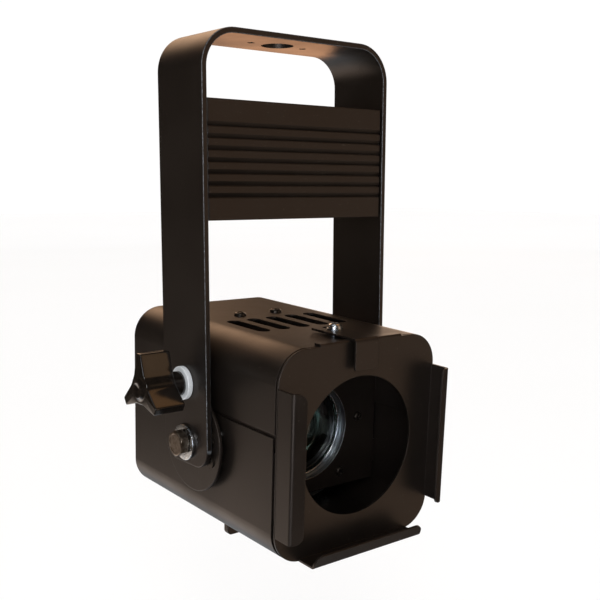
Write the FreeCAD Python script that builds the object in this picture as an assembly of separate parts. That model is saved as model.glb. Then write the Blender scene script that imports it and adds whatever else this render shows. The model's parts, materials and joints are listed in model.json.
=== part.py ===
import FreeCAD, Part
import math
import os

# Compact low-voltage stage spotlight: a folded sheet-steel lamp head that tilts in a flat strip yoke,
# with the lamp's driver box held between the yoke arms above the head.
# Everything is drawn about the tilt axis, then moved so that the origin is the centre of the yoke's
# hanging hole on the strip's top face. +X is to the right seen from the front, the beam leaves along
# -Y, and +Z is up. Lengths are in millimetres and angles in degrees.

V = FreeCAD.Vector
LEFT, RIGHT = -1, 1
SIDES = (LEFT, RIGHT)
ALONG_X = V(1, 0, 0)
ALONG_Y = V(0, 1, 0)
ALONG_Z = V(0, 0, 1)

# ---- Driving sizes --------------------------------------------------------------------------------
# Head casing
HEAD_WIDTH = 108.0
HEAD_TOP = 62.5            # roof above the tilt axis
HEAD_BOTTOM = -50.1        # floor of the front and rear plates
HEAD_FRONT = -71.5         # front face of the front plate
HEAD_REAR = 75.2           # rear face of the rear plate
HEAD_CORNER_R = 17.6
SHEET = 1.2                # steel sheet of the casing
SEAM_Z = 20.4              # lower edge of the upper shell
SEAM_GAP = 2.2             # open joint between the two shells, which lie flush
SEAM_LAP = 8.0             # reach of the lower shell's inner strip above and below the joint
LOWER_SETBACK = 1.2        # lower shell's front edge behind the upper one's
REST_TILT = 2.3            # nose-down angle as stored
TAB_LOW = -25.0            # tabs of the end plates inside the lower shell
TAB_HIGH = 10.0
TAB_LENGTH = 12.0
# Yoke
YOKE_DROP = 218.0          # tilt axis to the strip's top face
STRIP_WIDTH = 44.0
STRIP = 3.0                # strip thickness
YOKE_BEND_R = 20.5         # outside radius of the two top bends
ARM_END = 12.0             # arm length below the tilt axis
ARM_CORNER_R = 12.0
HANG_HOLE_R = 9.0
SIDE_HOLE_R = 2.0
SIDE_HOLE_SPACING = 35.4
# Tilt pivot
PIVOT_R = 4.0              # M8 bolt
HEX_FLATS = 13.0
BOLT_HEAD = 5.3
NUT = 6.5
BOLT_END = 3.0             # thread beyond the nut
PIVOT_WASHER_R = 10.0
PIVOT_WASHER = 1.6
DISC_R = 28.3
DISC = 2.0                 # tilt disc thickness
DISC_GAP = 3.0             # widest part of the casing to the disc
FRICTION_R = 11.5
FRICTION = 1.0             # fibre friction washer thickness
PIVOT_SPACER_R = 7.0
RIVET_CIRCLE_R = 20.0
RIVET_R = 2.4
RIVET_HEAD_R = 3.8
RIVET_HEAD = 0.7
RIVET_TAIL = 1.2
RIVET_SPACER_R = 3.5
RIVET_ANGLES = (-20, 20, 160, 200)
# Tilt lock
LOCK_STUD_R = 4.0
LUG_WIDTH = 16.0
LUG_GRIP = 3.8             # reach of the lug's nose down behind the disc's rim
LUG_CROWN = 3.4            # lug above the stud
STUD_TO_DISC = 0.9
KNOB_R = 19.0              # lobe tip radius
KNOB_DEPTH = 17.5
KNOB_LOBES = 3
KNOB_ROOT_R = 2.0
KNOB_TIP_R = 0.9
KNOB_EDGE_R = 0.7
LOBE_TIP = 4.4             # width of a lobe at its tip
LOBE_ROOT = 10.0           # and where it meets the hub
KNOB_HUB_R = 8.2
DOME_R = 6.0
DOME_CROWN_R = 4.6
DOME = 1.4
DIMPLE_R = 5.0
BOSS_R = 6.8
BOSS_LENGTH = 7.0
STUD_IN_KNOB = 8.0
KNOB_WASHER_R = 9.2
KNOB_WASHER = 3.0
KNOB_WASHER_EDGE_R = 0.6
# Driver box
BOX_BOTTOM = 121.0         # above the tilt axis
BOX_TOP = 182.5
BOX_DEPTH = 42.0
BOX_SIDE_GAP = 0.5         # box to arm
BOX_CORNER_R = 1.0
BOX_WALL = 1.5
BOX_SHEET = 1.2            # sheet of the rear pan
COVER_WALL = 3.2           # ribbed front wall
COVER_LIP = 8.0            # rear lips that take the screws
GROOVES = 7
GROOVE_PITCH = 6.0
GROOVE_HEIGHT = 2.8
GROOVE_DEPTH = 1.6
GROOVE_FLOOR = 0.5         # height of its deepest part
BOX_SCREW_R = 1.5
BOX_SCREW_LENGTH = 6.0
BOX_SCREW_INSET = 7.0      # from the box's floor and roof
PAN_VENTS = 7
PAN_VENT_PITCH = 12.0
PAN_VENT_WIDTH = 3.0
PAN_VENT_HALF = 12.0
PAD_R = 6.0                # welded pads between the box and the arms
PAD_Y = 4.0
PAD_INSET = 14.0
# Driver electronics
BOARD_MARGIN = 8.0         # board's end to the cover's side wall
BOARD_HALF_WIDTH = 14.0
BOARD = 1.6
BOARD_LIFT = 5.0
STANDOFF_R = 3.0
STANDOFF_SCREW_R = 1.6
STANDOFF_INSET = 4.0
CORE_HALF = 20.0
CORE_HALF_DEPTH = 8.0
CORE_HEIGHT = 30.0
CORE_LIMB_HALF = 7.0       # middle limb
CORE_END = 6.0             # outer limbs are two thirds of this
COIL_HALF_DEPTH = 12.0
COIL_CORNER_R = 2.0
CAPACITOR_R = 4.5
CAPACITOR_HEIGHT = 22.0
CAPACITOR_PITCH = 11.0
CAPACITOR_EDGE_R = 0.8
BOX_TERMINALS = 3
TERMINAL_PITCH = 6.0
TERMINAL_R = 1.5
TERMINAL_WIDTH = 16.0
TERMINAL_HEIGHT = 12.0
# Cable glands
GLAND_THREAD_R = 5.0
GLAND_BORE_R = 3.2
GLAND_COLLAR = 3.0
GLAND_CROWN = 0.62         # mouth radius over body radius
GLAND_NUT = 3.5
GLAND_NUT_FLATS = 15.0
GLAND_END = 1.0            # thread beyond the nut
BOX_GLAND_R = 7.5
BOX_GLAND_LENGTH = 13.0
BOX_GLAND_X = 28.0
BOX_GLAND_RISE = 18.0      # above the box's floor
HEAD_GLAND_R = 8.0
HEAD_GLAND_LENGTH = 15.0
HEAD_GLAND_Z = -28.0
# Front plate and its colour-frame runners
APERTURE_R = 38.0
APERTURE_Z = 6.0
RUNNER_BOTTOM = -33.5
RUNNER_TOP = 44.0
RUNNER_DEPTH = 12.0
RUNNER_BEND_R = 2.0
LIP = 7.5
LIP_FLARE = 20.0
LIP_CORNER_R = 5.0
BOTTOM_RUNNER_INSET = 16.0 # its ends from the plate's sides
TOP_FLANGE_INSET = 26.0
TOP_FLANGE_DEPTH = 5.0
TOP_FLANGE_BEND_R = 1.0
# Frame clip
CLIP_WIDTH = 16.0
CLIP_REAR = -38.0
CLIP_TAB_GAP = 3.0         # tab to the front plate
CLIP_TAB_BOTTOM = 48.0
CLIP_BEND_R = 2.4
CLIP_CORNER_R = 1.5
CLIP_SCREW_Y = -49.0
CLIP_SCREW_R = 2.0
CLIP_SCREW_HEAD_R = 3.8
CLIP_SCREW_HEAD = 2.7
CLIP_SCREW_END = 3.0       # thread below the roof sheet
CLIP_WASHER = 0.8
CLIP_WASHER_R = 4.5
CLIP_FORWARD = 7.0         # travel away from the front plate
CLIP_BACK = 1.5            # travel towards it
# Roof vents, baffle and screws
VENTS = 5
VENT_PITCH = 13.6
VENT_WIDTH = 8.4
VENT_FRONT = -25.0
VENT_REAR = 11.0
BAFFLE_DEPTH = 10.0
BAFFLE_FRONT_MARGIN = 6.0  # tray beyond the vents
BAFFLE_REAR_MARGIN = 3.0
BAFFLE_FRONT_FLANGE = 8.0
BAFFLE_REAR_FLANGE = 14.0
TOP_SCREW_X = 13.0
TOP_SCREW_Y = 22.0
TOP_SCREW_R = 1.9
TOP_SCREW_END = 2.2        # thread below the baffle's flange
# Rear plate
LOUVRES = 5
LOUVRE_PITCH = 8.0
LOUVRE_R = 1.9
LOUVRE_HALF = 24.0
LOUVRE_FIRST_Z = 8.0
REAR_SCREW_R = 1.7
REAR_SCREW_LENGTH = 7.0
REAR_SCREW_INSET = 12.0    # from the plate's edges
# Lens
LENS_Z = 2.0               # optical axis above the tilt axis
LENS_R = 27.3
LENS_EDGE = 3.2
LENS_DOME = 8.0
LENS_PLATE_Y = -27.7       # front face of the lens plate
LENS_PLATE_BOTTOM = -35.0
LENS_PLATE_TOP = 42.0
LENS_FLANGE_DEPTH = 10.0
BARREL_WALL = 0.9
BARREL_NOSE = 0.8          # barrel proud of the lens plate
BARREL_DEPTH = 10.1        # its nose to the flat of the lens
BARREL_RIM = 12.5          # its flange round the outside
SEAT_WIDTH = 1.8           # inward rim behind the lens
LENS_SCREW_OUT = 9.7       # barrel's outside to the screws' centres
LENS_SCREW_R = 1.5
LENS_SCREW_END = 2.0
LENS_SCREW_ANGLES = (5, 175, 228, 312)
LENS_SPRING_R = 0.7
LENS_SPRING_GAP = 1.5
# Lamp
LAMP_MOUTH_Y = 5.0
REFLECTOR_R = 24.8
REFLECTOR_RIM = 3.0        # its rim's width and its thickness
REFLECTOR_DEPTH = 26.0
REFLECTOR_WALL = 1.6
REFLECTOR_LIP = 0.6
LAMP_NECK_R = 8.0
CAPSULE_R = 4.2
CAPSULE_SETBACK = 9.0
BASE_HALF = 8.0
BASE_HALF_HEIGHT = 4.5
BASE_LENGTH = 9.0
PIN_GAP = 5.3
PIN_R = 0.8
PIN_LENGTH = 7.0
HOLDER_HALF = 11.0
HOLDER_HALF_HEIGHT = 6.0
HOLDER_DEPTH = 12.0
HOLDER_SCREW_X = 7.5
HOLDER_SCREW_R = 1.3
HOLDER_SCREW_DEPTH = 5.0
SPRING_WIRE_R = 0.8
POST_R = 1.2
POST_OUT = 1.8             # post's centre beyond the reflector's rim
POST_FINGER = 2.6
# Lamp carriage
CARRIAGE_WIDTH = 60.0
CARRIAGE = 1.6
CARRIAGE_CORNER_R = 3.0
CARRIAGE_TRAVEL = 15.0     # each way from the middle
BRACKET = 1.2
BRACKET_RISE = 4.0         # above the reflector's rim
BRACKET_CORNER_R = 8.0
BRACKET_EDGE = 2.4         # reflector's rim over the bracket's hole
HOLDER_BRACKET_HALF = 12.0
HOLDER_BRACKET_RISE = 9.0
HOLDER_WIRE_R = 4.0
HOLDER_FOOT = 12.0
RAIL_HEIGHT = 3.0
RAIL_HALF = 3.0
RAIL_X = 22.0
RAIL_FRONT = -20.0
RAIL_REAR_GAP = 14.0
HANDLE_Y = 23.5
HANDLE_WIDTH = 40.0
HANDLE = 5.0               # handle plate thickness
HANDLE_DROP = 23.55        # below the casing's floor
HANDLE_LOW_CORNER_R = 3.0
HANDLE_TOP_CORNER_R = 1.5
HANDLE_EDGE_R = 0.8
NECK_WIDTH = 5.6
HANDLE_SCREW_R = 1.4
HANDLE_SCREW_DEPTH = 11.0
# Supply terminals on the right wall
HEAD_TERMINAL_Y = 50.0
HEAD_TERMINAL_HALF = 9.0
HEAD_TERMINAL_LOW = -22.0
HEAD_TERMINAL_HIGH = -8.0
HEAD_TERMINAL_DEPTH = 11.0
HEAD_TERMINAL_R = 1.7
HEAD_TERMINAL_PITCH = 8.0
# Pan heads, as multiples of the screw's shank radius
PAN_HEAD = 1.9
PAN_HEIGHT = 1.2

# ---- Clearances -----------------------------------------------------------------------------------
RUNNING = 0.05             # between a shaft and its hole, and across a turning face
SLIDING = 0.3              # between pieces that slide past each other
LAP = 0.05                 # between two nested sheets
PANEL_GAP = 1.0            # shadow gap behind the front plate
COIL_GAP = 0.6             # winding to the core
LUG_TO_DISC = 0.2
LUG_TO_HEAD = 0.6
SCREW_PLAY = 0.2           # radial play of a screw in its hole
EDGE_R = 0.5               # small edge radius on coated sheet and strip

# ---- Worked out from the driving sizes ------------------------------------------------------------
HALF = HEAD_WIDTH / 2
CAVITY_HALF = HALF - SHEET
CAVITY_FLOOR = HEAD_BOTTOM + SHEET
STRIP_HALF = CAVITY_HALF - SHEET                # inside of the seam's inner strip
CAVITY_ROOF = HEAD_TOP - SHEET
SHELL_FRONT = HEAD_FRONT + SHEET + PANEL_GAP
SHELL_REAR = HEAD_REAR - SHEET
LOWER_FRONT = SHELL_FRONT + LOWER_SETBACK
DISC_INNER = HALF + DISC_GAP
DISC_OUTER = DISC_INNER + DISC
ARM_INNER = DISC_OUTER + FRICTION
ARM_OUTER = ARM_INNER + STRIP
BEYOND = 2 * HEAD_WIDTH                         # outside everything, for through cuts
LOCK_Z = DISC_R + LOCK_STUD_R + STUD_TO_DISC    # the lock stud passes just outside the disc's rim
KNOB_START = ARM_OUTER + KNOB_WASHER + RUNNING  # inner end of the knob's boss
KNOB_SEAT = -(KNOB_START + BOSS_LENGTH)         # inner ends of its lobes
BOX_HALF = ARM_INNER - BOX_SIDE_GAP
BOX_FRONT = -BOX_DEPTH / 2
BOX_REAR = BOX_DEPTH / 2
COVER_REAR = BOX_REAR - BOX_SHEET
BOX_GLAND_Z = BOX_BOTTOM + BOX_GLAND_RISE
BOARD_HALF = BOX_HALF - BOX_WALL - BOARD_MARGIN
BOARD_Z = BOX_BOTTOM + BOX_SHEET + BOARD_LIFT
BOARD_TOP = BOARD_Z + BOARD
CORE_TOP = BOARD_TOP + CORE_HEIGHT
CORE_WINDOW = CORE_HALF - CORE_END * 2 / 3      # outer edge of the core's windows
CLIP_BOTTOM = HEAD_TOP + SHEET + RUNNING        # the strap lies on the top flange
CLIP_TOP = CLIP_BOTTOM + SHEET
CLIP_SEAT = CLIP_TOP + RUNNING
LENS_FLANGE_Y = LENS_PLATE_Y + SHEET
BARREL_BORE_R = LENS_R + SLIDING
BARREL_R = BARREL_BORE_R + BARREL_WALL
BARREL_FLANGE_R = BARREL_R + BARREL_RIM
BARREL_FRONT = LENS_PLATE_Y - BARREL_NOSE
LENS_SEAT_Y = BARREL_FRONT + BARREL_DEPTH       # flat rear face of the lens
LAMP_REAR = LAMP_MOUTH_Y + REFLECTOR_DEPTH
HOLDER_Y = LAMP_REAR + BASE_LENGTH
HOLDER_REAR = HOLDER_Y + HOLDER_DEPTH
BRACKET_Y = LAMP_MOUTH_Y + REFLECTOR_RIM
RAIL_TOP = CAVITY_FLOOR + RAIL_HEIGHT
CARRIAGE_BOTTOM = RAIL_TOP + SLIDING
CARRIAGE_TOP = CARRIAGE_BOTTOM + CARRIAGE


# ---- Shape helpers --------------------------------------------------------------------------------
def block(x0, x1, y0, y1, z0, z1):
    return Part.makeBox(x1 - x0, y1 - y0, z1 - z0, V(x0, y0, z0))


def rod(radius, start, end):
    axis = end.sub(start)
    return Part.makeCylinder(radius, axis.Length, start, axis)


def pipe(outer, inner, start, end):
    return rod(outer, start, end).cut(rod(inner, start, end))


def rounded_points(points, radii):
    """Closed wire through the points, with a tangent arc of the given radius at each corner."""
    edges = []
    starts = []
    ends = []
    count = len(points)
    for i in range(count):
        here = points[i]
        back = points[i - 1].sub(here).normalize()
        ahead = points[(i + 1) % count].sub(here).normalize()
        if radii[i] == 0:
            starts.append(here)
            ends.append(here)
            continue
        half = back.getAngle(ahead) / 2
        reach = radii[i] / math.tan(half)
        first = here.add(V(back).multiply(reach))
        last = here.add(V(ahead).multiply(reach))
        inward = back.add(ahead).normalize()
        middle = here.add(inward.multiply(radii[i] / math.sin(half) - radii[i]))
        starts.append(first)
        ends.append(last)
        edges.append(Part.Arc(first, middle, last).toShape())
    for i in range(count):
        after = starts[(i + 1) % count]
        if ends[i].distanceToPoint(after) > 1e-6:
            edges.append(Part.LineSegment(ends[i], after).toShape())
    return Part.Wire(Part.__sortEdges__(edges))


def prism(points, radii, along):
    return Part.Face(rounded_points(points, radii)).extrude(along)


def casing_block(inset, y0, y1):
    """The casing's rounded outline, set in all round by inset and run from y0 to y1."""
    half = HALF - inset
    low = HEAD_BOTTOM + inset
    high = HEAD_TOP - inset
    corners = [V(-half, y0, low), V(half, y0, low), V(half, y0, high), V(-half, y0, high)]
    return prism(corners, [HEAD_CORNER_R - inset] * 4, V(0, y1 - y0, 0))


def slot_cut(x, y0, y1, width, z0, z1):
    """A round-ended slot along Y, cut down through z0 to z1."""
    radius = width / 2
    middle = block(x - radius, x + radius, y0 + radius, y1 - radius, z0, z1)
    for y in (y0 + radius, y1 - radius):
        middle = middle.fuse(rod(radius, V(x, y, z0), V(x, y, z1)))
    return middle


def turned(edges):
    """A solid turned about the optical axis from a closed outline in the plane of that axis."""
    wire = Part.Wire(Part.__sortEdges__(edges))
    return Part.Face(wire).revolve(V(0, 0, LENS_Z), ALONG_Y, 360)


def optical_line(r0, y0, r1, y1):
    """A straight edge between two (radius, y) points beside the optical axis."""
    return Part.LineSegment(V(r0, y0, LENS_Z), V(r1, y1, LENS_Z)).toShape()


def hexagon(across_flats, start, along):
    """A hex prism that leaves start along the X vector given, with two of its flats level."""
    radius = across_flats / math.sqrt(3)
    corners = []
    for i in range(6):
        angle = math.radians(60 * i)
        corners.append(V(start.x, start.y + radius * math.cos(angle), start.z + radius * math.sin(angle)))
    return Part.Face(Part.makePolygon(corners + [corners[0]])).extrude(along)


def edges_where(shape, test):
    return [edge for edge in shape.Edges if test(edge)]


def rounded_edges(shape, radius, test):
    return shape.makeFillet(radius, edges_where(shape, test))


def is_straight_along(edge, axis):
    if edge.Curve.TypeId != "Part::GeomLine":
        return False
    return abs(edge.tangentAt(edge.FirstParameter).dot(axis)) > 0.999


def cross_recess(radius, depth):
    """The driver recess of a screw whose head's top is at the origin, looking along +Z."""
    arm = radius * 0.2
    bars = block(-radius, radius, -arm, arm, -depth, depth)
    return bars.fuse(block(-arm, arm, -radius, radius, -depth, depth))


def pan_screw(shank_r, length, head_r, head_height):
    """A pan-head screw standing on the origin, its shank running down -Z."""
    head = rod(head_r, V(0, 0, 0), V(0, 0, head_height))
    head = rounded_edges(head, head_height * 0.62, lambda e: e.CenterOfMass.z > head_height / 2
                         and e.Length > 6 * head_r)
    head = head.cut(cross_recess(head_r * 0.5, head_height * 0.6).translate(V(0, 0, head_height)))
    return head.fuse(rod(shank_r, V(0, 0, -length), V(0, 0, 0)))


def screw(shank_r, length):
    return pan_screw(shank_r, length, PAN_HEAD * shank_r, PAN_HEIGHT * shank_r)


def aimed(shape, direction, place):
    """A copy of a +Z shape turned to point along direction, with its origin at place."""
    copy = shape.copy()
    copy.Placement = FreeCAD.Placement(place, FreeCAD.Rotation(ALONG_Z, direction))
    return copy


def group(shapes):
    return Part.makeCompound(shapes)


def on_circle(radius, angle):
    return radius * math.cos(math.radians(angle)), radius * math.sin(math.radians(angle))


def gland(body_r, wall, length):
    """A domed cable gland whose collar stands on the origin, pointing along +Z through a wall."""
    inner_end = V(0, 0, -wall - GLAND_NUT - GLAND_END)
    solid = rod(GLAND_THREAD_R, inner_end, V(0, 0, 0))
    solid = solid.fuse(rod(body_r, V(0, 0, 0), V(0, 0, GLAND_COLLAR)))
    dome_r = body_r - EDGE_R
    dome = Part.makeCone(dome_r, body_r * GLAND_CROWN, length - GLAND_COLLAR, V(0, 0, GLAND_COLLAR), ALONG_Z)
    return solid.fuse(dome).cut(rod(GLAND_BORE_R, inner_end, V(0, 0, length)))


# ---- Yoke -----------------------------------------------------------------------------------------
def yoke_strip():
    """A flat strip folded into an inverted U, with rounded arm ends and its four drilled holes."""
    half_depth = STRIP_WIDTH / 2
    outer = [V(-ARM_OUTER, -half_depth, -ARM_END), V(-ARM_OUTER, -half_depth, YOKE_DROP),
             V(ARM_OUTER, -half_depth, YOKE_DROP), V(ARM_OUTER, -half_depth, -ARM_END),
             V(ARM_INNER, -half_depth, -ARM_END), V(ARM_INNER, -half_depth, YOKE_DROP - STRIP),
             V(-ARM_INNER, -half_depth, YOKE_DROP - STRIP), V(-ARM_INNER, -half_depth, -ARM_END)]
    inner_r = YOKE_BEND_R - STRIP
    radii = [0, YOKE_BEND_R, YOKE_BEND_R, 0, 0, inner_r, inner_r, 0]
    strip = prism(outer, radii, V(0, STRIP_WIDTH, 0))
    outline = [V(-BEYOND, -half_depth, -ARM_END), V(-BEYOND, half_depth, -ARM_END),
               V(-BEYOND, half_depth, YOKE_DROP), V(-BEYOND, -half_depth, YOKE_DROP)]
    strip = strip.common(prism(outline, [ARM_CORNER_R, ARM_CORNER_R, 0, 0], V(2 * BEYOND, 0, 0)))
    long_edges = edges_where(strip, lambda e: abs(abs(e.CenterOfMass.y) - half_depth) < 0.01)
    strip = strip.makeFillet(EDGE_R, long_edges)
    strip = strip.cut(rod(HANG_HOLE_R, V(0, 0, YOKE_DROP - 2 * STRIP), V(0, 0, YOKE_DROP + STRIP)))
    for side in SIDES:
        x = side * SIDE_HOLE_SPACING / 2
        strip = strip.cut(rod(SIDE_HOLE_R, V(x, 0, YOKE_DROP - 2 * STRIP), V(x, 0, YOKE_DROP + STRIP)))
    strip = strip.cut(rod(PIVOT_R + RUNNING, V(-BEYOND, 0, 0), V(BEYOND, 0, 0)))
    return strip.cut(rod(LOCK_STUD_R + RUNNING, V(-BEYOND, 0, LOCK_Z), V(0, 0, LOCK_Z)))


def clamp_lug():
    """The plate that the lock stud pulls outwards, so that it pinches the tilt disc's rim."""
    half = LUG_WIDTH / 2
    top = LOCK_Z + LOCK_STUD_R + LUG_CROWN
    inner = -(HALF + LUG_TO_HEAD)
    nose = block(-(DISC_INNER - LUG_TO_DISC), inner, -half, half, DISC_R - LUG_GRIP, top)
    body = block(-(ARM_INNER - SLIDING), inner, -half, half, DISC_R + SLIDING, top)
    lug = nose.fuse(body).removeSplitter()
    return lug.cut(rod(LOCK_STUD_R + RUNNING, V(-BEYOND, 0, LOCK_Z), V(0, 0, LOCK_Z)))


def knob_washer():
    start = V(-ARM_OUTER, 0, LOCK_Z)
    end = V(-ARM_OUTER - KNOB_WASHER, 0, LOCK_Z)
    ring = rounded_edges(rod(KNOB_WASHER_R, start, end), KNOB_WASHER_EDGE_R,
                         lambda e: abs(e.BoundBox.XLength) < 0.01)
    return ring.cut(rod(LOCK_STUD_R + RUNNING, start, end))


# ---- Tilt lock knob -------------------------------------------------------------------------------
def knob_lobe(angle, x0, x1):
    """One lobe of the knob: a bar from the axis that narrows to its flat tip."""
    taper = (LOBE_ROOT - LOBE_TIP) / 2 / (KNOB_R - KNOB_HUB_R)
    root = LOBE_ROOT / 2 + taper * KNOB_HUB_R
    tip = LOBE_TIP / 2
    points = [V(x0, 0, -root), V(x0, KNOB_R, -tip), V(x0, KNOB_R, tip), V(x0, 0, root)]
    lobe = prism(points, [0] * 4, V(x1 - x0, 0, 0))
    lobe.rotate(V(0, 0, 0), ALONG_X, angle)
    return lobe


def tilt_knob():
    """A three-lobed moulded knob, one lobe up, on a round boss with a dimpled dome on its outer face."""
    face = KNOB_SEAT - KNOB_DEPTH
    body = rod(KNOB_HUB_R, V(face, 0, 0), V(KNOB_SEAT, 0, 0))
    for i in range(KNOB_LOBES):
        body = body.fuse(knob_lobe(90 + 360 * i / KNOB_LOBES, face, KNOB_SEAT))
    body = body.removeSplitter()
    middle = (KNOB_HUB_R + KNOB_R) / 2
    body = rounded_edges(body, KNOB_ROOT_R, lambda e: is_straight_along(e, ALONG_X)
                         and math.hypot(e.CenterOfMass.y, e.CenterOfMass.z) < middle)
    body = rounded_edges(body, KNOB_TIP_R, lambda e: is_straight_along(e, ALONG_X)
                         and math.hypot(e.CenterOfMass.y, e.CenterOfMass.z) > middle)
    body = rounded_edges(body, KNOB_EDGE_R, lambda e: abs(e.BoundBox.XLength) < 0.01)
    body = body.fuse(rod(BOSS_R, V(KNOB_SEAT, 0, 0), V(KNOB_SEAT + BOSS_LENGTH, 0, 0)))
    dome = Part.makeCone(DOME_R, DOME_CROWN_R, DOME, V(face, 0, 0), V(-1, 0, 0))
    body = body.fuse(dome).cut(Part.makeSphere(DIMPLE_R, V(face - DIMPLE_R, 0, 0)))
    body = body.cut(rod(LOCK_STUD_R, V(KNOB_SEAT - STUD_IN_KNOB, 0, 0), V(0, 0, 0)))
    return body.translate(V(0, 0, LOCK_Z))


def knob_stud():
    start = KNOB_SEAT - STUD_IN_KNOB
    return rod(LOCK_STUD_R, V(start, 0, LOCK_Z), V(-(HALF + LUG_TO_HEAD), 0, LOCK_Z))


# ---- Driver box -----------------------------------------------------------------------------------
def driver_cover():
    """The front channel: a thick wall with seven level sawtooth grooves, side walls and rear lips."""
    low = BOX_BOTTOM
    corners = [V(-BOX_HALF, BOX_FRONT, low), V(BOX_HALF, BOX_FRONT, low),
               V(BOX_HALF, COVER_REAR, low), V(-BOX_HALF, COVER_REAR, low)]
    height = V(0, 0, BOX_TOP - BOX_BOTTOM)
    cover = prism(corners, [BOX_CORNER_R, BOX_CORNER_R, 0, 0], height)
    inside = BOX_HALF - BOX_WALL
    behind = BOX_FRONT + COVER_WALL
    cover = cover.cut(block(-inside, inside, behind, COVER_REAR - BOX_WALL, low, BOX_TOP))
    cover = cover.cut(block(COVER_LIP - inside, inside - COVER_LIP, behind, BOX_REAR, low, BOX_TOP))
    rim = edges_where(cover, lambda e: e.CenterOfMass.y < BOX_FRONT + 1 and e.BoundBox.ZLength < 0.01)
    cover = cover.makeFillet(EDGE_R, rim)
    first = (BOX_BOTTOM + BOX_TOP - (GROOVES - 1) * GROOVE_PITCH - GROOVE_HEIGHT) / 2
    for i in range(GROOVES):
        z = first + i * GROOVE_PITCH
        cover = cover.cut(groove_cut(z, z + GROOVE_HEIGHT))
    for x, z in driver_screw_places():
        cover = cover.cut(rod(BOX_SCREW_R, V(x, 0, z), V(x, BOX_REAR, z)))
    return cover


def groove_cut(low, high):
    """A level groove right across the box, its floor sloping inwards from the top to a square bottom."""
    deep = BOX_FRONT + GROOVE_DEPTH
    corners = [V(-BOX_HALF, BOX_FRONT, high), V(-BOX_HALF, deep, low + GROOVE_FLOOR),
               V(-BOX_HALF, deep, low), V(-BOX_HALF, BOX_FRONT, low)]
    return prism(corners, [0] * 4, V(2 * BOX_HALF, 0, 0))


def driver_screw_places():
    x = BOX_HALF - BOX_WALL - COVER_LIP / 2
    heights = (BOX_BOTTOM + BOX_SCREW_INSET, BOX_TOP - BOX_SCREW_INSET)
    return [(side * x, z) for side in SIDES for z in heights]


def driver_pan():
    """The rear pan: floor and roof that nest between the cover's walls, and a rear wall over its lips."""
    inside = BOX_HALF - BOX_WALL - LAP
    front = BOX_FRONT + COVER_WALL + LAP
    deep = COVER_REAR - BOX_WALL - LAP
    floor = block(-inside, inside, front, deep, BOX_BOTTOM, BOX_BOTTOM + BOX_SHEET)
    roof = block(-inside, inside, front, deep, BOX_TOP - BOX_SHEET, BOX_TOP)
    middle = inside - COVER_LIP
    plug = block(-middle, middle, deep, BOX_REAR, BOX_BOTTOM, BOX_TOP)
    plug = plug.cut(block(-middle, middle, deep, COVER_REAR, BOX_BOTTOM + BOX_SHEET, BOX_TOP - BOX_SHEET))
    rear = block(-BOX_HALF, BOX_HALF, COVER_REAR, BOX_REAR, BOX_BOTTOM, BOX_TOP)
    pan = floor.fuse(roof).fuse(plug).fuse(rear).removeSplitter()
    for x, z in driver_screw_places():
        pan = pan.cut(rod(BOX_SCREW_R + SCREW_PLAY, V(x, 0, z), V(x, BOX_REAR + 1, z)))
    for side in SIDES:
        x = side * BOX_GLAND_X
        pan = pan.cut(rod(GLAND_THREAD_R, V(x, 0, BOX_GLAND_Z), V(x, BOX_REAR + 1, BOX_GLAND_Z)))
    for i in range(PAN_VENTS):
        x = (i - (PAN_VENTS - 1) / 2) * PAN_VENT_PITCH
        pan = pan.cut(slot_cut(x, -PAN_VENT_HALF, PAN_VENT_HALF, PAN_VENT_WIDTH,
                               BOX_TOP - 2 * BOX_SHEET, BOX_TOP + 1))
    return pan


def driver_mount_pads():
    """Four welded pads that join the box's side walls to the arms."""
    pads = []
    for side in SIDES:
        for z in (BOX_BOTTOM + PAD_INSET, BOX_TOP - PAD_INSET):
            pads.append(rod(PAD_R, V(side * BOX_HALF, PAD_Y, z), V(side * ARM_INNER, PAD_Y, z)))
    return group(pads)


def driver_screws():
    one = screw(BOX_SCREW_R, BOX_SCREW_LENGTH)
    return group([aimed(one, ALONG_Y, V(x, BOX_REAR, z)) for x, z in driver_screw_places()])


def standoff_places():
    x = BOARD_HALF - STANDOFF_INSET
    y = BOARD_HALF_WIDTH - STANDOFF_INSET
    return [(side * x, end * y) for side in SIDES for end in SIDES]


def driver_circuit_board():
    board = block(-BOARD_HALF, BOARD_HALF, -BOARD_HALF_WIDTH, BOARD_HALF_WIDTH, BOARD_Z, BOARD_TOP)
    for x, y in standoff_places():
        board = board.cut(rod(STANDOFF_SCREW_R, V(x, y, BOARD_Z - 1), V(x, y, BOARD_TOP + 1)))
    return board


def board_standoffs():
    floor = BOX_BOTTOM + BOX_SHEET
    return group([rod(STANDOFF_R, V(x, y, floor), V(x, y, BOARD_Z)) for x, y in standoff_places()])


def driver_transformer_core():
    """A laminated shell core with two windows."""
    core = block(-CORE_HALF, CORE_HALF, -CORE_HALF_DEPTH, CORE_HALF_DEPTH, BOARD_TOP, CORE_TOP)
    for side in SIDES:
        x = sorted((side * CORE_LIMB_HALF, side * CORE_WINDOW))
        core = core.cut(block(x[0], x[1], -CORE_HALF_DEPTH, CORE_HALF_DEPTH,
                              BOARD_TOP + CORE_END, CORE_TOP - CORE_END))
    return core


def driver_transformer_coil():
    """The winding on the core's middle limb, standing proud at the front and the back."""
    low = BOARD_TOP + CORE_END + COIL_GAP
    high = CORE_TOP - CORE_END - COIL_GAP
    half = CORE_WINDOW - COIL_GAP
    coil = block(-half, half, -COIL_HALF_DEPTH, COIL_HALF_DEPTH, low, high)
    coil = rounded_edges(coil, COIL_CORNER_R, lambda e: is_straight_along(e, ALONG_Z))
    return coil.cut(block(-CORE_LIMB_HALF, CORE_LIMB_HALF, -CORE_HALF_DEPTH, CORE_HALF_DEPTH, low, high))


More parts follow.
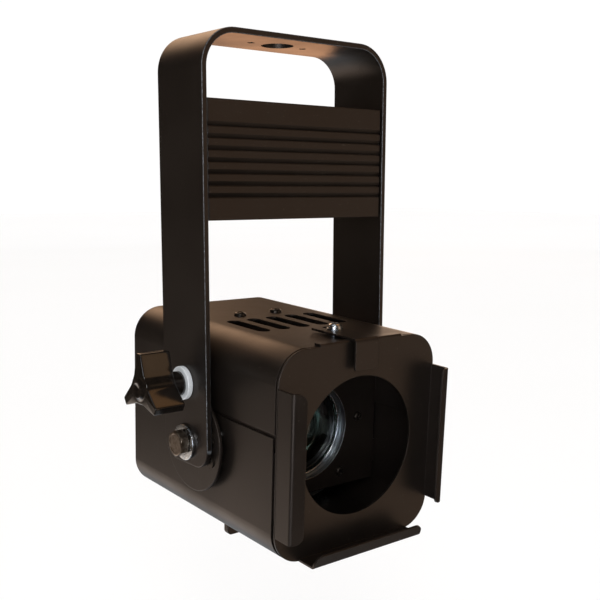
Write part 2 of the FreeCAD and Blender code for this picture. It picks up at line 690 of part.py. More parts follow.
def driver_capacitors():
    """Two cans between the transformer and the board's left standoffs."""
    cans = []
    for i in range(2):
        x = -(CORE_HALF + CAPACITOR_PITCH * (i + 1))
        can = rod(CAPACITOR_R, V(x, 0, BOARD_TOP), V(x, 0, BOARD_TOP + CAPACITOR_HEIGHT))
        cans.append(rounded_edges(can, CAPACITOR_EDGE_R, lambda e: e.CenterOfMass.z > BOARD_TOP + CAPACITOR_R
                                  and e.BoundBox.ZLength < 0.01))
    return group(cans)


def driver_terminal_block():
    """A three-way block between the transformer and the board's right standoffs."""
    start = CORE_HALF + CAPACITOR_R + CAPACITOR_R
    half = BOX_TERMINALS * TERMINAL_PITCH / 2
    middle = start + TERMINAL_WIDTH / 2
    body = block(start, start + TERMINAL_WIDTH, -half, half, BOARD_TOP, BOARD_TOP + TERMINAL_HEIGHT)
    for i in range(BOX_TERMINALS):
        y = (i - (BOX_TERMINALS - 1) / 2) * TERMINAL_PITCH
        body = body.cut(rod(TERMINAL_R, V(middle, y, BOARD_TOP + TERMINAL_HEIGHT / 2),
                            V(middle, y, BOARD_TOP + TERMINAL_HEIGHT + 1)))
    return body


def driver_gland(side):
    place = V(side * BOX_GLAND_X, BOX_REAR, BOX_GLAND_Z)
    return aimed(gland(BOX_GLAND_R, BOX_SHEET, BOX_GLAND_LENGTH), ALONG_Y, place)


# ---- Tilt pivot, one set each side ----------------------------------------------------------------
def rivet_places():
    return [on_circle(RIVET_CIRCLE_R, angle) for angle in RIVET_ANGLES]


def tilt_disc(side):
    disc = rod(DISC_R, V(side * DISC_INNER, 0, 0), V(side * DISC_OUTER, 0, 0))
    disc = rounded_edges(disc, EDGE_R, lambda e: e.Curve.TypeId == "Part::GeomCircle")
    disc = disc.cut(rod(PIVOT_R, V(side * HALF, 0, 0), V(side * ARM_INNER, 0, 0)))
    for y, z in rivet_places():
        disc = disc.cut(rod(RIVET_R, V(side * HALF, y, z), V(side * ARM_INNER, y, z)))
    return disc


def friction_washer(side):
    """A fibre washer between the tilt disc and the arm."""
    return pipe(FRICTION_R, PIVOT_R, V(side * DISC_OUTER, 0, 0), V(side * (ARM_INNER - RUNNING), 0, 0))


def disc_spacers(side):
    """Sleeves that hold the disc off the casing, one on each rivet and one on the pivot bolt."""
    start = side * HALF
    end = side * DISC_INNER
    sleeves = [pipe(PIVOT_SPACER_R, PIVOT_R, V(start, 0, 0), V(end, 0, 0))]
    for y, z in rivet_places():
        sleeves.append(pipe(RIVET_SPACER_R, RIVET_R, V(start, y, z), V(end, y, z)))
    return sleeves


def disc_rivets(side):
    inner = side * (CAVITY_HALF - RIVET_TAIL)
    outer = side * DISC_OUTER
    rivets = []
    for y, z in rivet_places():
        shank = rod(RIVET_R, V(inner, y, z), V(outer, y, z))
        head = rod(RIVET_HEAD_R, V(outer, y, z), V(outer + side * RIVET_HEAD, y, z))
        tail = rod(RIVET_HEAD_R, V(inner, y, z), V(side * CAVITY_HALF, y, z))
        rivets.append(shank.fuse(head).fuse(tail))
    return rivets


def pivot_bolt(side):
    """A hex bolt whose head is bevelled at 30 degrees outside a round crown."""
    seat = V(side * (ARM_OUTER + RUNNING + PIVOT_WASHER), 0, 0)
    end = V(side * (CAVITY_HALF - NUT - BOLT_END), 0, 0)
    crown_r = HEX_FLATS * 0.475
    bevel = Part.makeCone(crown_r + BOLT_HEAD * math.sqrt(3), crown_r, BOLT_HEAD, seat, V(side, 0, 0))
    head = hexagon(HEX_FLATS, seat, V(side * BOLT_HEAD, 0, 0)).common(bevel)
    return head.fuse(rod(PIVOT_R, end, seat))


def pivot_washer(side):
    start = side * (ARM_OUTER + RUNNING)
    end = start + side * PIVOT_WASHER
    washer = pipe(PIVOT_WASHER_R, PIVOT_R, V(start, 0, 0), V(end, 0, 0))
    return rounded_edges(washer, EDGE_R, lambda e: e.BoundBox.YLength > 2 * PIVOT_WASHER_R - 0.1
                         and e.BoundBox.XLength < 0.01)


def pivot_nut(side):
    start = V(side * (CAVITY_HALF - NUT), 0, 0)
    nut = hexagon(HEX_FLATS, start, V(side * NUT, 0, 0))
    return nut.cut(rod(PIVOT_R, start, V(side * CAVITY_HALF, 0, 0)))


def both_sides(maker):
    return group([maker(side) for side in SIDES])


# ---- Head casing ----------------------------------------------------------------------------------
def upper_shell():
    """The roof sheet, folded over both top corners, its side walls flush above the lower shell's."""
    shell = casing_block(0, SHELL_FRONT, SHELL_REAR).cut(casing_block(SHEET, SHELL_FRONT, SHELL_REAR))
    shell = shell.common(block(-HALF, HALF, SHELL_FRONT, SHELL_REAR, SEAM_Z, HEAD_TOP))
    above = HEAD_TOP + 1
    below = HEAD_TOP - 2 * SHEET
    for i in range(VENTS):
        x = (i - (VENTS - 1) / 2) * VENT_PITCH
        shell = shell.cut(slot_cut(x, VENT_FRONT, VENT_REAR, VENT_WIDTH, below, above))
    for side in SIDES:
        x = side * TOP_SCREW_X
        shell = shell.cut(rod(TOP_SCREW_R, V(x, TOP_SCREW_Y, below), V(x, TOP_SCREW_Y, above)))
    return shell.cut(rod(CLIP_SCREW_R, V(0, CLIP_SCREW_Y, below), V(0, CLIP_SCREW_Y, above)))


def focus_slot():
    half = NECK_WIDTH / 2 + SLIDING
    reach = HANDLE / 2 + CARRIAGE_TRAVEL + 1.0
    return block(-half, half, HANDLE_Y - reach, HANDLE_Y + reach, HEAD_BOTTOM - 1, CAVITY_FLOOR + 1)


def lower_shell():
    """The floor sheet, folded up both sides, with an inner strip spot-welded along each top edge."""
    skin = casing_block(0, LOWER_FRONT, SHELL_REAR).cut(casing_block(SHEET, LOWER_FRONT, SHELL_REAR))
    skin = skin.common(block(-HALF, HALF, LOWER_FRONT, SHELL_REAR, HEAD_BOTTOM, SEAM_Z - SEAM_GAP))
    strips = block(-CAVITY_HALF, CAVITY_HALF, LOWER_FRONT, SHELL_REAR, SEAM_Z - SEAM_LAP, SEAM_Z + SEAM_LAP)
    strips = strips.cut(block(-STRIP_HALF, STRIP_HALF, LOWER_FRONT, SHELL_REAR, SEAM_Z - SEAM_LAP, HEAD_TOP))
    shell = skin.fuse(strips).removeSplitter().cut(focus_slot())
    shell = shell.cut(rod(PIVOT_R, V(-HALF, 0, 0), V(HALF, 0, 0)))
    for y, z in rivet_places():
        shell = shell.cut(rod(RIVET_R, V(-HALF, y, z), V(HALF, y, z)))
    return shell


def side_runner(side):
    """A J-shaped channel along the plate's side edge: a web forward and a flared lip inwards."""
    nose = HEAD_FRONT - RUNNER_DEPTH
    flare = math.radians(LIP_FLARE)
    tip_x = HALF - LIP * math.cos(flare)
    tip_y = nose - LIP * math.sin(flare)
    back_x = tip_x - SHEET * math.sin(flare)
    back_y = tip_y + SHEET * math.cos(flare)
    outline = [(HALF, HEAD_FRONT), (HALF, nose), (tip_x, tip_y), (back_x, back_y),
               (HALF - SHEET, nose + SHEET), (HALF - SHEET, HEAD_FRONT)]
    points = [V(side * x, y, RUNNER_BOTTOM) for x, y in outline]
    radii = [0, RUNNER_BEND_R, 0, 0, RUNNER_BEND_R - SHEET, 0]
    channel = prism(points, radii, V(0, 0, RUNNER_TOP - RUNNER_BOTTOM))
    return rounded_edges(channel, LIP_CORNER_R, lambda e: e.CenterOfMass.y < nose
                         and e.Length < SHEET * 1.1 and e.BoundBox.ZLength < 0.01)


def bottom_runner():
    """The same channel turned up along the plate's lower edge."""
    nose = HEAD_FRONT - RUNNER_DEPTH
    flare = math.radians(LIP_FLARE)
    start = BOTTOM_RUNNER_INSET - HALF
    tip_z = HEAD_BOTTOM + LIP * math.cos(flare)
    tip_y = nose - LIP * math.sin(flare)
    back_z = tip_z + SHEET * math.sin(flare)
    back_y = tip_y + SHEET * math.cos(flare)
    inside = HEAD_BOTTOM + SHEET
    outline = [(HEAD_FRONT, HEAD_BOTTOM), (nose, HEAD_BOTTOM), (tip_y, tip_z), (back_y, back_z),
               (nose + SHEET, inside), (HEAD_FRONT, inside)]
    points = [V(start, y, z) for y, z in outline]
    radii = [0, RUNNER_BEND_R, 0, 0, RUNNER_BEND_R - SHEET, 0]
    channel = prism(points, radii, V(-2 * start, 0, 0))
    return rounded_edges(channel, LIP_CORNER_R, lambda e: e.CenterOfMass.y < nose
                         and e.Length < SHEET * 1.1 and e.BoundBox.XLength < 0.01)


def end_tab(side, y0, y1):
    """A tab of an end plate that lies inside the lower shell's wall."""
    x = sorted((side * CAVITY_HALF, side * STRIP_HALF))
    return block(x[0], x[1], y0, y1, TAB_LOW, TAB_HIGH)


def front_plate():
    """The front plate with its round aperture, runners, roof flange and two tabs inside the shell."""
    plate = casing_block(0, HEAD_FRONT, HEAD_FRONT + SHEET)
    plate = rounded_edges(plate, EDGE_R, lambda e: abs(e.CenterOfMass.y - HEAD_FRONT) < 0.01)
    top_half = HALF - TOP_FLANGE_INSET
    rear = HEAD_FRONT + TOP_FLANGE_DEPTH
    lift = block(-top_half, top_half, HEAD_FRONT, HEAD_FRONT + SHEET, HEAD_TOP - SHEET, HEAD_TOP + SHEET)
    flange = block(-top_half, top_half, HEAD_FRONT, rear, HEAD_TOP, HEAD_TOP + SHEET)
    fold = lift.fuse(flange).removeSplitter()
    fold = rounded_edges(fold, TOP_FLANGE_BEND_R, lambda e: abs(e.CenterOfMass.y - HEAD_FRONT) < 0.01
                         and abs(e.CenterOfMass.z - HEAD_TOP - SHEET) < 0.01)
    plate = plate.fuse(fold).fuse(bottom_runner())
    for side in SIDES:
        plate = plate.fuse(side_runner(side)).fuse(end_tab(side, HEAD_FRONT, SHELL_FRONT + TAB_LENGTH))
    hole = rod(APERTURE_R, V(0, HEAD_FRONT - 1, APERTURE_Z), V(0, HEAD_FRONT + SHEET + 1, APERTURE_Z))
    return plate.cut(hole).removeSplitter()


def rear_screw_places():
    x = HALF - REAR_SCREW_INSET
    heights = (HEAD_BOTTOM + REAR_SCREW_INSET, HEAD_TOP - REAR_SCREW_INSET)
    return [(side * x, z) for side in SIDES for z in heights]


def louvre_cut(z):
    """A level round-ended slot through the rear plate."""
    y0 = SHELL_REAR - SHEET
    y1 = HEAD_REAR + SHEET
    end = LOUVRE_HALF - LOUVRE_R
    cut = block(-end, end, y0, y1, z - LOUVRE_R, z + LOUVRE_R)
    for side in SIDES:
        cut = cut.fuse(rod(LOUVRE_R, V(side * end, y0, z), V(side * end, y1, z)))
    return cut


def rear_plate():
    """The rear plate, with five level louvre slots, corner screws and the cable gland's hole."""
    plate = casing_block(0, SHELL_REAR, HEAD_REAR)
    plate = rounded_edges(plate, EDGE_R, lambda e: abs(e.CenterOfMass.y - HEAD_REAR) < 0.01)
    for side in SIDES:
        plate = plate.fuse(end_tab(side, SHELL_REAR - TAB_LENGTH, SHELL_REAR + SHEET / 2))
    for i in range(LOUVRES):
        plate = plate.cut(louvre_cut(LOUVRE_FIRST_Z + i * LOUVRE_PITCH))
    for x, z in rear_screw_places():
        plate = plate.cut(rod(REAR_SCREW_R, V(x, SHELL_REAR - 1, z), V(x, HEAD_REAR + 1, z)))
    hole = rod(GLAND_THREAD_R, V(0, SHELL_REAR - 1, HEAD_GLAND_Z), V(0, HEAD_REAR + 1, HEAD_GLAND_Z))
    return plate.cut(hole)


def rear_screws():
    one = screw(REAR_SCREW_R, REAR_SCREW_LENGTH)
    return group([aimed(one, ALONG_Y, V(x, HEAD_REAR, z)) for x, z in rear_screw_places()])


def top_screws():
    one = screw(TOP_SCREW_R, 2 * SHEET + TOP_SCREW_END)
    return group([aimed(one, ALONG_Z, V(side * TOP_SCREW_X, TOP_SCREW_Y, HEAD_TOP)) for side in SIDES])


def cable_gland():
    one = gland(HEAD_GLAND_R, SHEET, HEAD_GLAND_LENGTH)
    return aimed(one, ALONG_Y, V(0, HEAD_REAR, HEAD_GLAND_Z))


def gland_nut():
    nut = hexagon(GLAND_NUT_FLATS, V(0, 0, 0), V(GLAND_NUT, 0, 0))
    nut = nut.cut(rod(GLAND_THREAD_R, V(0, 0, 0), V(GLAND_NUT, 0, 0)))
    turn = FreeCAD.Rotation(ALONG_X, V(0, -1, 0))
    nut.Placement = FreeCAD.Placement(V(0, SHELL_REAR, HEAD_GLAND_Z), turn)
    return nut


def light_baffle():
    """A folded tray below the vents that stops stray light: a pan with rising ends and two flanges."""
    half = HALF - HEAD_CORNER_R
    high = CAVITY_ROOF - LAP
    low = high - BAFFLE_DEPTH
    front = VENT_FRONT - BAFFLE_FRONT_MARGIN
    rear = VENT_REAR + BAFFLE_REAR_MARGIN
    tray = block(-half, half, front, rear, low, low + SHEET)
    for y0, y1 in ((front, front + SHEET), (rear - SHEET, rear)):
        tray = tray.fuse(block(-half, half, y0, y1, low, high))
    flanges = ((front - BAFFLE_FRONT_FLANGE, front + SHEET), (rear - SHEET, rear + BAFFLE_REAR_FLANGE))
    for y0, y1 in flanges:
        tray = tray.fuse(block(-half, half, y0, y1, high - SHEET, high))
    tray = tray.removeSplitter()
    for side in SIDES:
        x = side * TOP_SCREW_X
        tray = tray.cut(rod(TOP_SCREW_R, V(x, TOP_SCREW_Y, low), V(x, TOP_SCREW_Y, high)))
    return tray


def guide_rails():
    rails = []
    for side in SIDES:
        x = side * RAIL_X
        rails.append(block(x - RAIL_HALF, x + RAIL_HALF, RAIL_FRONT, SHELL_REAR - RAIL_REAR_GAP,
                           CAVITY_FLOOR, RAIL_TOP))
    return group(rails)


def head_terminal_block():
    """A two-way ceramic block on the right wall beside the carriage, where the supply lead ends."""
    inner = CAVITY_HALF - HEAD_TERMINAL_DEPTH
    front = HEAD_TERMINAL_Y - HEAD_TERMINAL_HALF
    rear = HEAD_TERMINAL_Y + HEAD_TERMINAL_HALF
    body = block(inner, CAVITY_HALF, front, rear, HEAD_TERMINAL_LOW, HEAD_TERMINAL_HIGH)
    x = CAVITY_HALF - HEAD_TERMINAL_DEPTH / 2
    middle = (HEAD_TERMINAL_LOW + HEAD_TERMINAL_HIGH) / 2
    for side in SIDES:
        y = HEAD_TERMINAL_Y + side * HEAD_TERMINAL_PITCH / 2
        body = body.cut(rod(HEAD_TERMINAL_R, V(x, y, middle), V(x, y, HEAD_TERMINAL_HIGH + 1)))
    return body


# ---- Frame clip -----------------------------------------------------------------------------------
def frame_clip():
    """A slotted strap on the roof that turns down in front of the plate to keep a frame in its runners."""
    half = CLIP_WIDTH / 2
    tab_rear = HEAD_FRONT - CLIP_TAB_GAP
    tab_front = tab_rear - SHEET
    points = [V(-half, CLIP_REAR, CLIP_BOTTOM), V(-half, CLIP_REAR, CLIP_TOP),
              V(-half, tab_front, CLIP_TOP), V(-half, tab_front, CLIP_TAB_BOTTOM),
              V(-half, tab_rear, CLIP_TAB_BOTTOM), V(-half, tab_rear, CLIP_BOTTOM)]
    strap = prism(points, [0, 0, CLIP_BEND_R, 0, 0, CLIP_BEND_R - SHEET], V(CLIP_WIDTH, 0, 0))
    strap = rounded_edges(strap, CLIP_CORNER_R, lambda e: e.Length < 2 * SHEET and (
        is_straight_along(e, ALONG_Z) and abs(e.CenterOfMass.y - CLIP_REAR) < 0.01
        or is_straight_along(e, ALONG_Y) and abs(e.CenterOfMass.z - CLIP_TAB_BOTTOM) < 0.01))
    reach = CLIP_SCREW_R + SLIDING
    cut = slot_cut(0, CLIP_SCREW_Y - reach - CLIP_BACK, CLIP_SCREW_Y + reach + CLIP_FORWARD,
                   2 * reach, CLIP_BOTTOM - 1, CLIP_TOP + 1)
    return strap.cut(cut)


def frame_clip_screw():
    seat = CLIP_SEAT + CLIP_WASHER
    length = seat - CAVITY_ROOF + CLIP_SCREW_END
    one = pan_screw(CLIP_SCREW_R, length, CLIP_SCREW_HEAD_R, CLIP_SCREW_HEAD)
    return aimed(one, ALONG_Z, V(0, CLIP_SCREW_Y, seat))


def frame_clip_washers():
    """One washer under the screw's head, and a spacer that carries the strap level with the flange."""
    rings = []
    for low, high in ((CLIP_SEAT, CLIP_SEAT + CLIP_WASHER), (HEAD_TOP, HEAD_TOP + SHEET)):
        rings.append(pipe(CLIP_WASHER_R, CLIP_SCREW_R, V(0, CLIP_SCREW_Y, low), V(0, CLIP_SCREW_Y, high)))
    return group(rings)


# ---- Lens -----------------------------------------------------------------------------------------
def lens_screw_places():
    places = []
    for angle in LENS_SCREW_ANGLES:
        x, z = on_circle(BARREL_R + LENS_SCREW_OUT, angle)
        places.append((x, z + LENS_Z))
    return places


def lens_plate():
    """An upright bulkhead across the casing, with side flanges against the lower shell's walls."""
    plate = block(-STRIP_HALF, STRIP_HALF, LENS_PLATE_Y, LENS_FLANGE_Y, LENS_PLATE_BOTTOM, LENS_PLATE_TOP)
    for side in SIDES:
        x = sorted((side * CAVITY_HALF, side * STRIP_HALF))
        high = min(z for y, z in rivet_places()) - RIVET_HEAD_R - 2 * SLIDING
        plate = plate.fuse(block(x[0], x[1], LENS_PLATE_Y, LENS_FLANGE_Y + LENS_FLANGE_DEPTH, TAB_LOW, high))
    plate = plate.cut(rod(BARREL_R, V(0, LENS_PLATE_Y - 1, LENS_Z), V(0, LENS_FLANGE_Y + 1, LENS_Z)))
    for x, z in lens_screw_places():
        plate = plate.cut(rod(LENS_SCREW_R, V(x, LENS_PLATE_Y - 1, z), V(x, LENS_FLANGE_Y + 1, z)))
    return plate.removeSplitter()


def lens_barrel():
    """A spun cup whose nose stands through the plate: flange behind it, plain bore, rear lens seat."""
    seat_r = LENS_R - SEAT_WIDTH
    rear = LENS_SEAT_Y + SHEET
    step = LENS_FLANGE_Y + SHEET
    outline = [(BARREL_BORE_R, BARREL_FRONT), (BARREL_R, BARREL_FRONT), (BARREL_R, LENS_FLANGE_Y),
               (BARREL_FLANGE_R, LENS_FLANGE_Y), (BARREL_FLANGE_R, step), (BARREL_R, step),
               (BARREL_R, rear), (seat_r, rear), (seat_r, LENS_SEAT_Y), (BARREL_BORE_R, LENS_SEAT_Y)]
    ends = outline[1:] + outline[:1]
    barrel = turned([optical_line(r0, y0, r1, y1) for (r0, y0), (r1, y1) in zip(outline, ends)])
    for x, z in lens_screw_places():
        barrel = barrel.cut(rod(LENS_SCREW_R, V(x, LENS_FLANGE_Y - 1, z), V(x, step + 1, z)))
    return barrel


def lens():
    """A plano-convex condenser: flat face to the lamp, dome to the front."""
    edge_y = LENS_SEAT_Y - LENS_EDGE
    tip_y = edge_y - LENS_DOME
    dome_r = (LENS_R ** 2 + LENS_DOME ** 2) / (2 * LENS_DOME)
    half_angle = math.asin(LENS_R / dome_r) / 2
    middle = V(dome_r * math.sin(half_angle), tip_y + dome_r * (1 - math.cos(half_angle)), LENS_Z)
    dome = Part.Arc(V(0, tip_y, LENS_Z), middle, V(LENS_R, edge_y, LENS_Z)).toShape()
    return turned([dome, optical_line(LENS_R, edge_y, LENS_R, LENS_SEAT_Y),
                   optical_line(LENS_R, LENS_SEAT_Y, 0, LENS_SEAT_Y), optical_line(0, LENS_SEAT_Y, 0, tip_y)])


def lens_spring():
    """A round-wire snap ring that keeps the lens on its seat."""
    y = LENS_SEAT_Y - LENS_EDGE - LENS_SPRING_GAP
    return Part.makeTorus(BARREL_BORE_R - LENS_SPRING_R, LENS_SPRING_R, V(0, y, LENS_Z), ALONG_Y)


def lens_screws():
    one = screw(LENS_SCREW_R, 2 * SHEET + LENS_SCREW_END)
    return group([aimed(one, V(0, -1, 0), V(x, LENS_PLATE_Y, z)) for x, z in lens_screw_places()])


# ---- Lamp carriage --------------------------------------------------------------------------------
def carriage_plate():
    plate = block(-CARRIAGE_WIDTH / 2, CARRIAGE_WIDTH / 2, BRACKET_Y, HOLDER_REAR + BRACKET_RISE,
                  CARRIAGE_BOTTOM, CARRIAGE_TOP)
    plate = rounded_edges(plate, CARRIAGE_CORNER_R, lambda e: is_straight_along(e, ALONG_Z))
    hole = rod(HANDLE_SCREW_R, V(0, HANDLE_Y, CARRIAGE_BOTTOM - 1), V(0, HANDLE_Y, CARRIAGE_TOP + 1))
    return plate.cut(hole)


def lamp_bracket():
    """The upright plate that the reflector's rim sits against."""
    half = REFLECTOR_R + BRACKET_RISE
    top = LENS_Z + half
    plate = block(-half, half, BRACKET_Y, BRACKET_Y + BRACKET, CARRIAGE_TOP, top)
    plate = rounded_edges(plate, BRACKET_CORNER_R, lambda e: is_straight_along(e, ALONG_Y)
                          and e.CenterOfMass.z > top - 1)
    return plate.cut(rod(REFLECTOR_R - BRACKET_EDGE, V(0, 0, LENS_Z), V(0, HANDLE_Y, LENS_Z)))


def holder_bracket():
    """The rear upright with a foot, which carries the lamp holder."""
    half = HOLDER_BRACKET_HALF
    rear = HOLDER_REAR + BRACKET
    upright = block(-half, half, HOLDER_REAR, rear, CARRIAGE_TOP, LENS_Z + HOLDER_BRACKET_RISE)
    foot = block(-half, half, HOLDER_REAR - HOLDER_FOOT, rear, CARRIAGE_TOP, CARRIAGE_TOP + BRACKET)
    bracket = upright.fuse(foot).removeSplitter()
    bracket = bracket.cut(rod(HOLDER_WIRE_R, V(0, HOLDER_REAR - 1, LENS_Z), V(0, rear + 1, LENS_Z)))
    for side in SIDES:
        x = side * HOLDER_SCREW_X
        bracket = bracket.cut(rod(HOLDER_SCREW_R, V(x, HOLDER_REAR - 1, LENS_Z), V(x, rear + 1, LENS_Z)))
    return bracket


def reflector_radius(depth):
    """Parabola from the neck to the mouth: the radius grows with the square root of the depth."""
    share = 1 - depth / REFLECTOR_DEPTH
    return LAMP_NECK_R + (REFLECTOR_R - REFLECTOR_RIM - LAMP_NECK_R) * math.sqrt(share)


def lamp_reflector():
    """A faceted-glass bowl with a flat rim at its mouth, open at the neck for the burner."""
    steps = 8
    depths = [REFLECTOR_RIM + (REFLECTOR_DEPTH - REFLECTOR_RIM) * i / steps for i in range(steps + 1)]
    outer = [V(reflector_radius(d), LAMP_MOUTH_Y + d, LENS_Z) for d in depths]
    inner = [V(p.x - REFLECTOR_WALL, p.y, LENS_Z) for p in outer]
    outside = Part.BSplineCurve()
    outside.interpolate(outer)
    inside = Part.BSplineCurve()
    inside.interpolate(inner)
    rim = [(outer[0].x, BRACKET_Y), (REFLECTOR_R, BRACKET_Y), (REFLECTOR_R, LAMP_MOUTH_Y),
           (inner[0].x + REFLECTOR_LIP, LAMP_MOUTH_Y), (inner[0].x, BRACKET_Y)]
    neck = optical_line(outer[-1].x, LAMP_REAR, inner[-1].x, LAMP_REAR)
    edges = [outside.toShape(), neck, inside.toShape()]
    for (r0, y0), (r1, y1) in zip(rim, rim[1:]):
        edges.append(optical_line(r0, y0, r1, y1))
    return turned(edges)


def lamp_capsule():
    """The quartz burner: a closed round-nosed tube on the lamp's axis."""
    start = V(0, LAMP_MOUTH_Y + CAPSULE_SETBACK + CAPSULE_R, LENS_Z)
    return rod(CAPSULE_R, start, V(0, LAMP_REAR, LENS_Z)).fuse(Part.makeSphere(CAPSULE_R, start))


def lamp_pin(side, start):
    x = side * PIN_GAP / 2
    return rod(PIN_R, V(x, start, LENS_Z), V(x, HOLDER_Y + PIN_LENGTH, LENS_Z))


def lamp_base():
    """The ceramic base cemented in the reflector's neck, with its two pins."""
    base = block(-BASE_HALF, BASE_HALF, LAMP_REAR, HOLDER_Y,
                 LENS_Z - BASE_HALF_HEIGHT, LENS_Z + BASE_HALF_HEIGHT)
    base = rounded_edges(base, 2.0, lambda e: is_straight_along(e, ALONG_Y))
    for side in SIDES:
        base = base.fuse(lamp_pin(side, HOLDER_Y - 1))
    return base


def lamp_holder():
    holder = block(-HOLDER_HALF, HOLDER_HALF, HOLDER_Y, HOLDER_REAR,
                   LENS_Z - HOLDER_HALF_HEIGHT, LENS_Z + HOLDER_HALF_HEIGHT)
    holder = rounded_edges(holder, 2.5, lambda e: is_straight_along(e, ALONG_Y))
    for side in SIDES:
        x = side * HOLDER_SCREW_X
        hole = rod(HOLDER_SCREW_R, V(x, HOLDER_REAR - HOLDER_SCREW_DEPTH, LENS_Z), V(x, HOLDER_REAR, LENS_Z))
        holder = holder.cut(lamp_pin(side, HOLDER_Y)).cut(hole)
    return holder


def lamp_holder_screws():
    one = screw(HOLDER_SCREW_R, BRACKET + HOLDER_SCREW_DEPTH)
    rear = HOLDER_REAR + BRACKET
    return group([aimed(one, ALONG_Y, V(side * HOLDER_SCREW_X, rear, LENS_Z)) for side in SIDES])


def reflector_clip():
    """A sprung wire ring that keeps the reflector's rim against the bracket."""
    y = LAMP_MOUTH_Y - SPRING_WIRE_R
    return Part.makeTorus(REFLECTOR_R - SPRING_WIRE_R, SPRING_WIRE_R, V(0, y, LENS_Z), ALONG_Y)


def reflector_clip_posts():
    """Two hooked posts on the bracket that the wire ring snaps under."""
    under = LAMP_MOUTH_Y - 2 * SPRING_WIRE_R
    front = under - 1
    posts = []
    for side in SIDES:
        x = side * (REFLECTOR_R + POST_OUT)
        post = rod(POST_R, V(x, front, LENS_Z), V(x, BRACKET_Y, LENS_Z))
        ends = sorted((x, x - side * POST_FINGER))
        finger = block(ends[0], ends[1], front, under, LENS_Z - POST_R, LENS_Z + POST_R)
        posts.append(post.fuse(finger))
    return group(posts)


def focus_handle():
    """The handle plate below the casing, with a neck that rises through the focus slot."""
    half = HANDLE_WIDTH / 2
    y0 = HANDLE_Y - HANDLE / 2
    top = HEAD_BOTTOM - SLIDING
    low = HEAD_BOTTOM - HANDLE_DROP
    points = [V(-half, y0, low), V(half, y0, low), V(half, y0, top), V(-half, y0, top)]
    radii = [HANDLE_LOW_CORNER_R] * 2 + [HANDLE_TOP_CORNER_R] * 2
    plate = prism(points, radii, V(0, HANDLE, 0))
    plate = rounded_edges(plate, HANDLE_EDGE_R,
                          lambda e: abs(abs(e.CenterOfMass.y - HANDLE_Y) - HANDLE / 2) < 0.01)
    neck = block(-NECK_WIDTH / 2, NECK_WIDTH / 2, y0 + HANDLE_EDGE_R, y0 + HANDLE - HANDLE_EDGE_R,
                 top - 2, CARRIAGE_BOTTOM)
    deep = CARRIAGE_BOTTOM - HANDLE_SCREW_DEPTH
    hole = rod(HANDLE_SCREW_R, V(0, HANDLE_Y, deep), V(0, HANDLE_Y, CARRIAGE_TOP))
    return plate.fuse(neck).cut(hole)


def focus_handle_screw():
    return aimed(screw(HANDLE_SCREW_R, CARRIAGE + HANDLE_SCREW_DEPTH), ALONG_Z, V(0, HANDLE_Y, CARRIAGE_TOP))


# ---- Writing the pieces ---------------------------------------------------------------------------
def yoke_pieces():
    return {
        "yoke_strip": yoke_strip(),
        "clamp_lug": clamp_lug(),
        "knob_washer": knob_washer(),
        "tilt_knob": tilt_knob(),
        "knob_stud": knob_stud(),
        "driver_cover": driver_cover(),
        "driver_pan": driver_pan(),
        "driver_mount_pads": driver_mount_pads(),
        "driver_screws": driver_screws(),
        "driver_circuit_board": driver_circuit_board(),
        "board_standoffs": board_standoffs(),
        "driver_transformer_core": driver_transformer_core(),
        "driver_transformer_coil": driver_transformer_coil(),
        "driver_capacitors": driver_capacitors(),
        "driver_terminal_block": driver_terminal_block(),
        "mains_gland": driver_gland(RIGHT),
        "output_gland": driver_gland(LEFT),
    }


def head_pieces():
    return {
        "upper_shell": upper_shell(),
        "lower_shell": lower_shell(),
        "front_plate": front_plate(),
        "rear_plate": rear_plate(),
        "tilt_disc_left": tilt_disc(LEFT),
        "tilt_disc_right": tilt_disc(RIGHT),
        "friction_washers": both_sides(friction_washer),
        "disc_spacers": group(disc_spacers(LEFT) + disc_spacers(RIGHT)),
        "disc_rivets": group(disc_rivets(LEFT) + disc_rivets(RIGHT)),
        "pivot_bolts": both_sides(pivot_bolt),
        "pivot_washers": both_sides(pivot_washer),
        "pivot_nuts": both_sides(pivot_nut),
        "top_screws": top_screws(),
        "rear_screws": rear_screws(),
        "cable_gland": cable_gland(),
        "gland_nut": gland_nut(),
        "light_baffle": light_baffle(),
        "guide_rails": guide_rails(),
        "head_terminal_block": head_terminal_block(),
        "frame_clip": frame_clip(),
        "frame_clip_screw": frame_clip_screw(),
        "frame_clip_washers": frame_clip_washers(),
        "lens_plate": lens_plate(),
        "lens_barrel": lens_barrel(),
        "lens": lens(),
        "lens_spring": lens_spring(),
        "lens_screws": lens_screws(),
        "carriage_plate": carriage_plate(),
        "lamp_bracket": lamp_bracket(),
        "holder_bracket": holder_bracket(),
        "lamp_reflector": lamp_reflector(),
        "reflector_clip": reflector_clip(),
        "reflector_clip_posts": reflector_clip_posts(),
        "lamp_capsule": lamp_capsule(),
        "lamp_base": lamp_base(),
        "lamp_holder": lamp_holder(),
        "lamp_holder_screws": lamp_holder_screws(),
        "focus_handle": focus_handle(),
        "focus_handle_screw": focus_handle_screw(),
    }


def main():
    os.makedirs("parts", exist_ok=True)
    pieces = yoke_pieces()
    for name, shape in head_pieces().items():
        pieces[name] = shape.rotate(V(0, 0, 0), ALONG_X, REST_TILT)
    for name, shape in pieces.items():
        shape.translate(V(0, 0, -YOKE_DROP)).exportStep("parts/" + name + ".step")


main()
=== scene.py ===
"""Compact stage spotlight: materials, turned and moulded pieces, soft studio light and camera.

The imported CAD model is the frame. Its sheet-metal pieces keep their shapes and get materials here.
The knob, the fasteners, the lens, its barrel, the lamp and the glands are worked out again as smooth
surfaces. Lengths are metres in the row frame: origin at the yoke's hanging hole, beam along -Y.
"""
import json
import math

import bmesh
import bpy
import numpy as np
from mathutils import Matrix, Vector


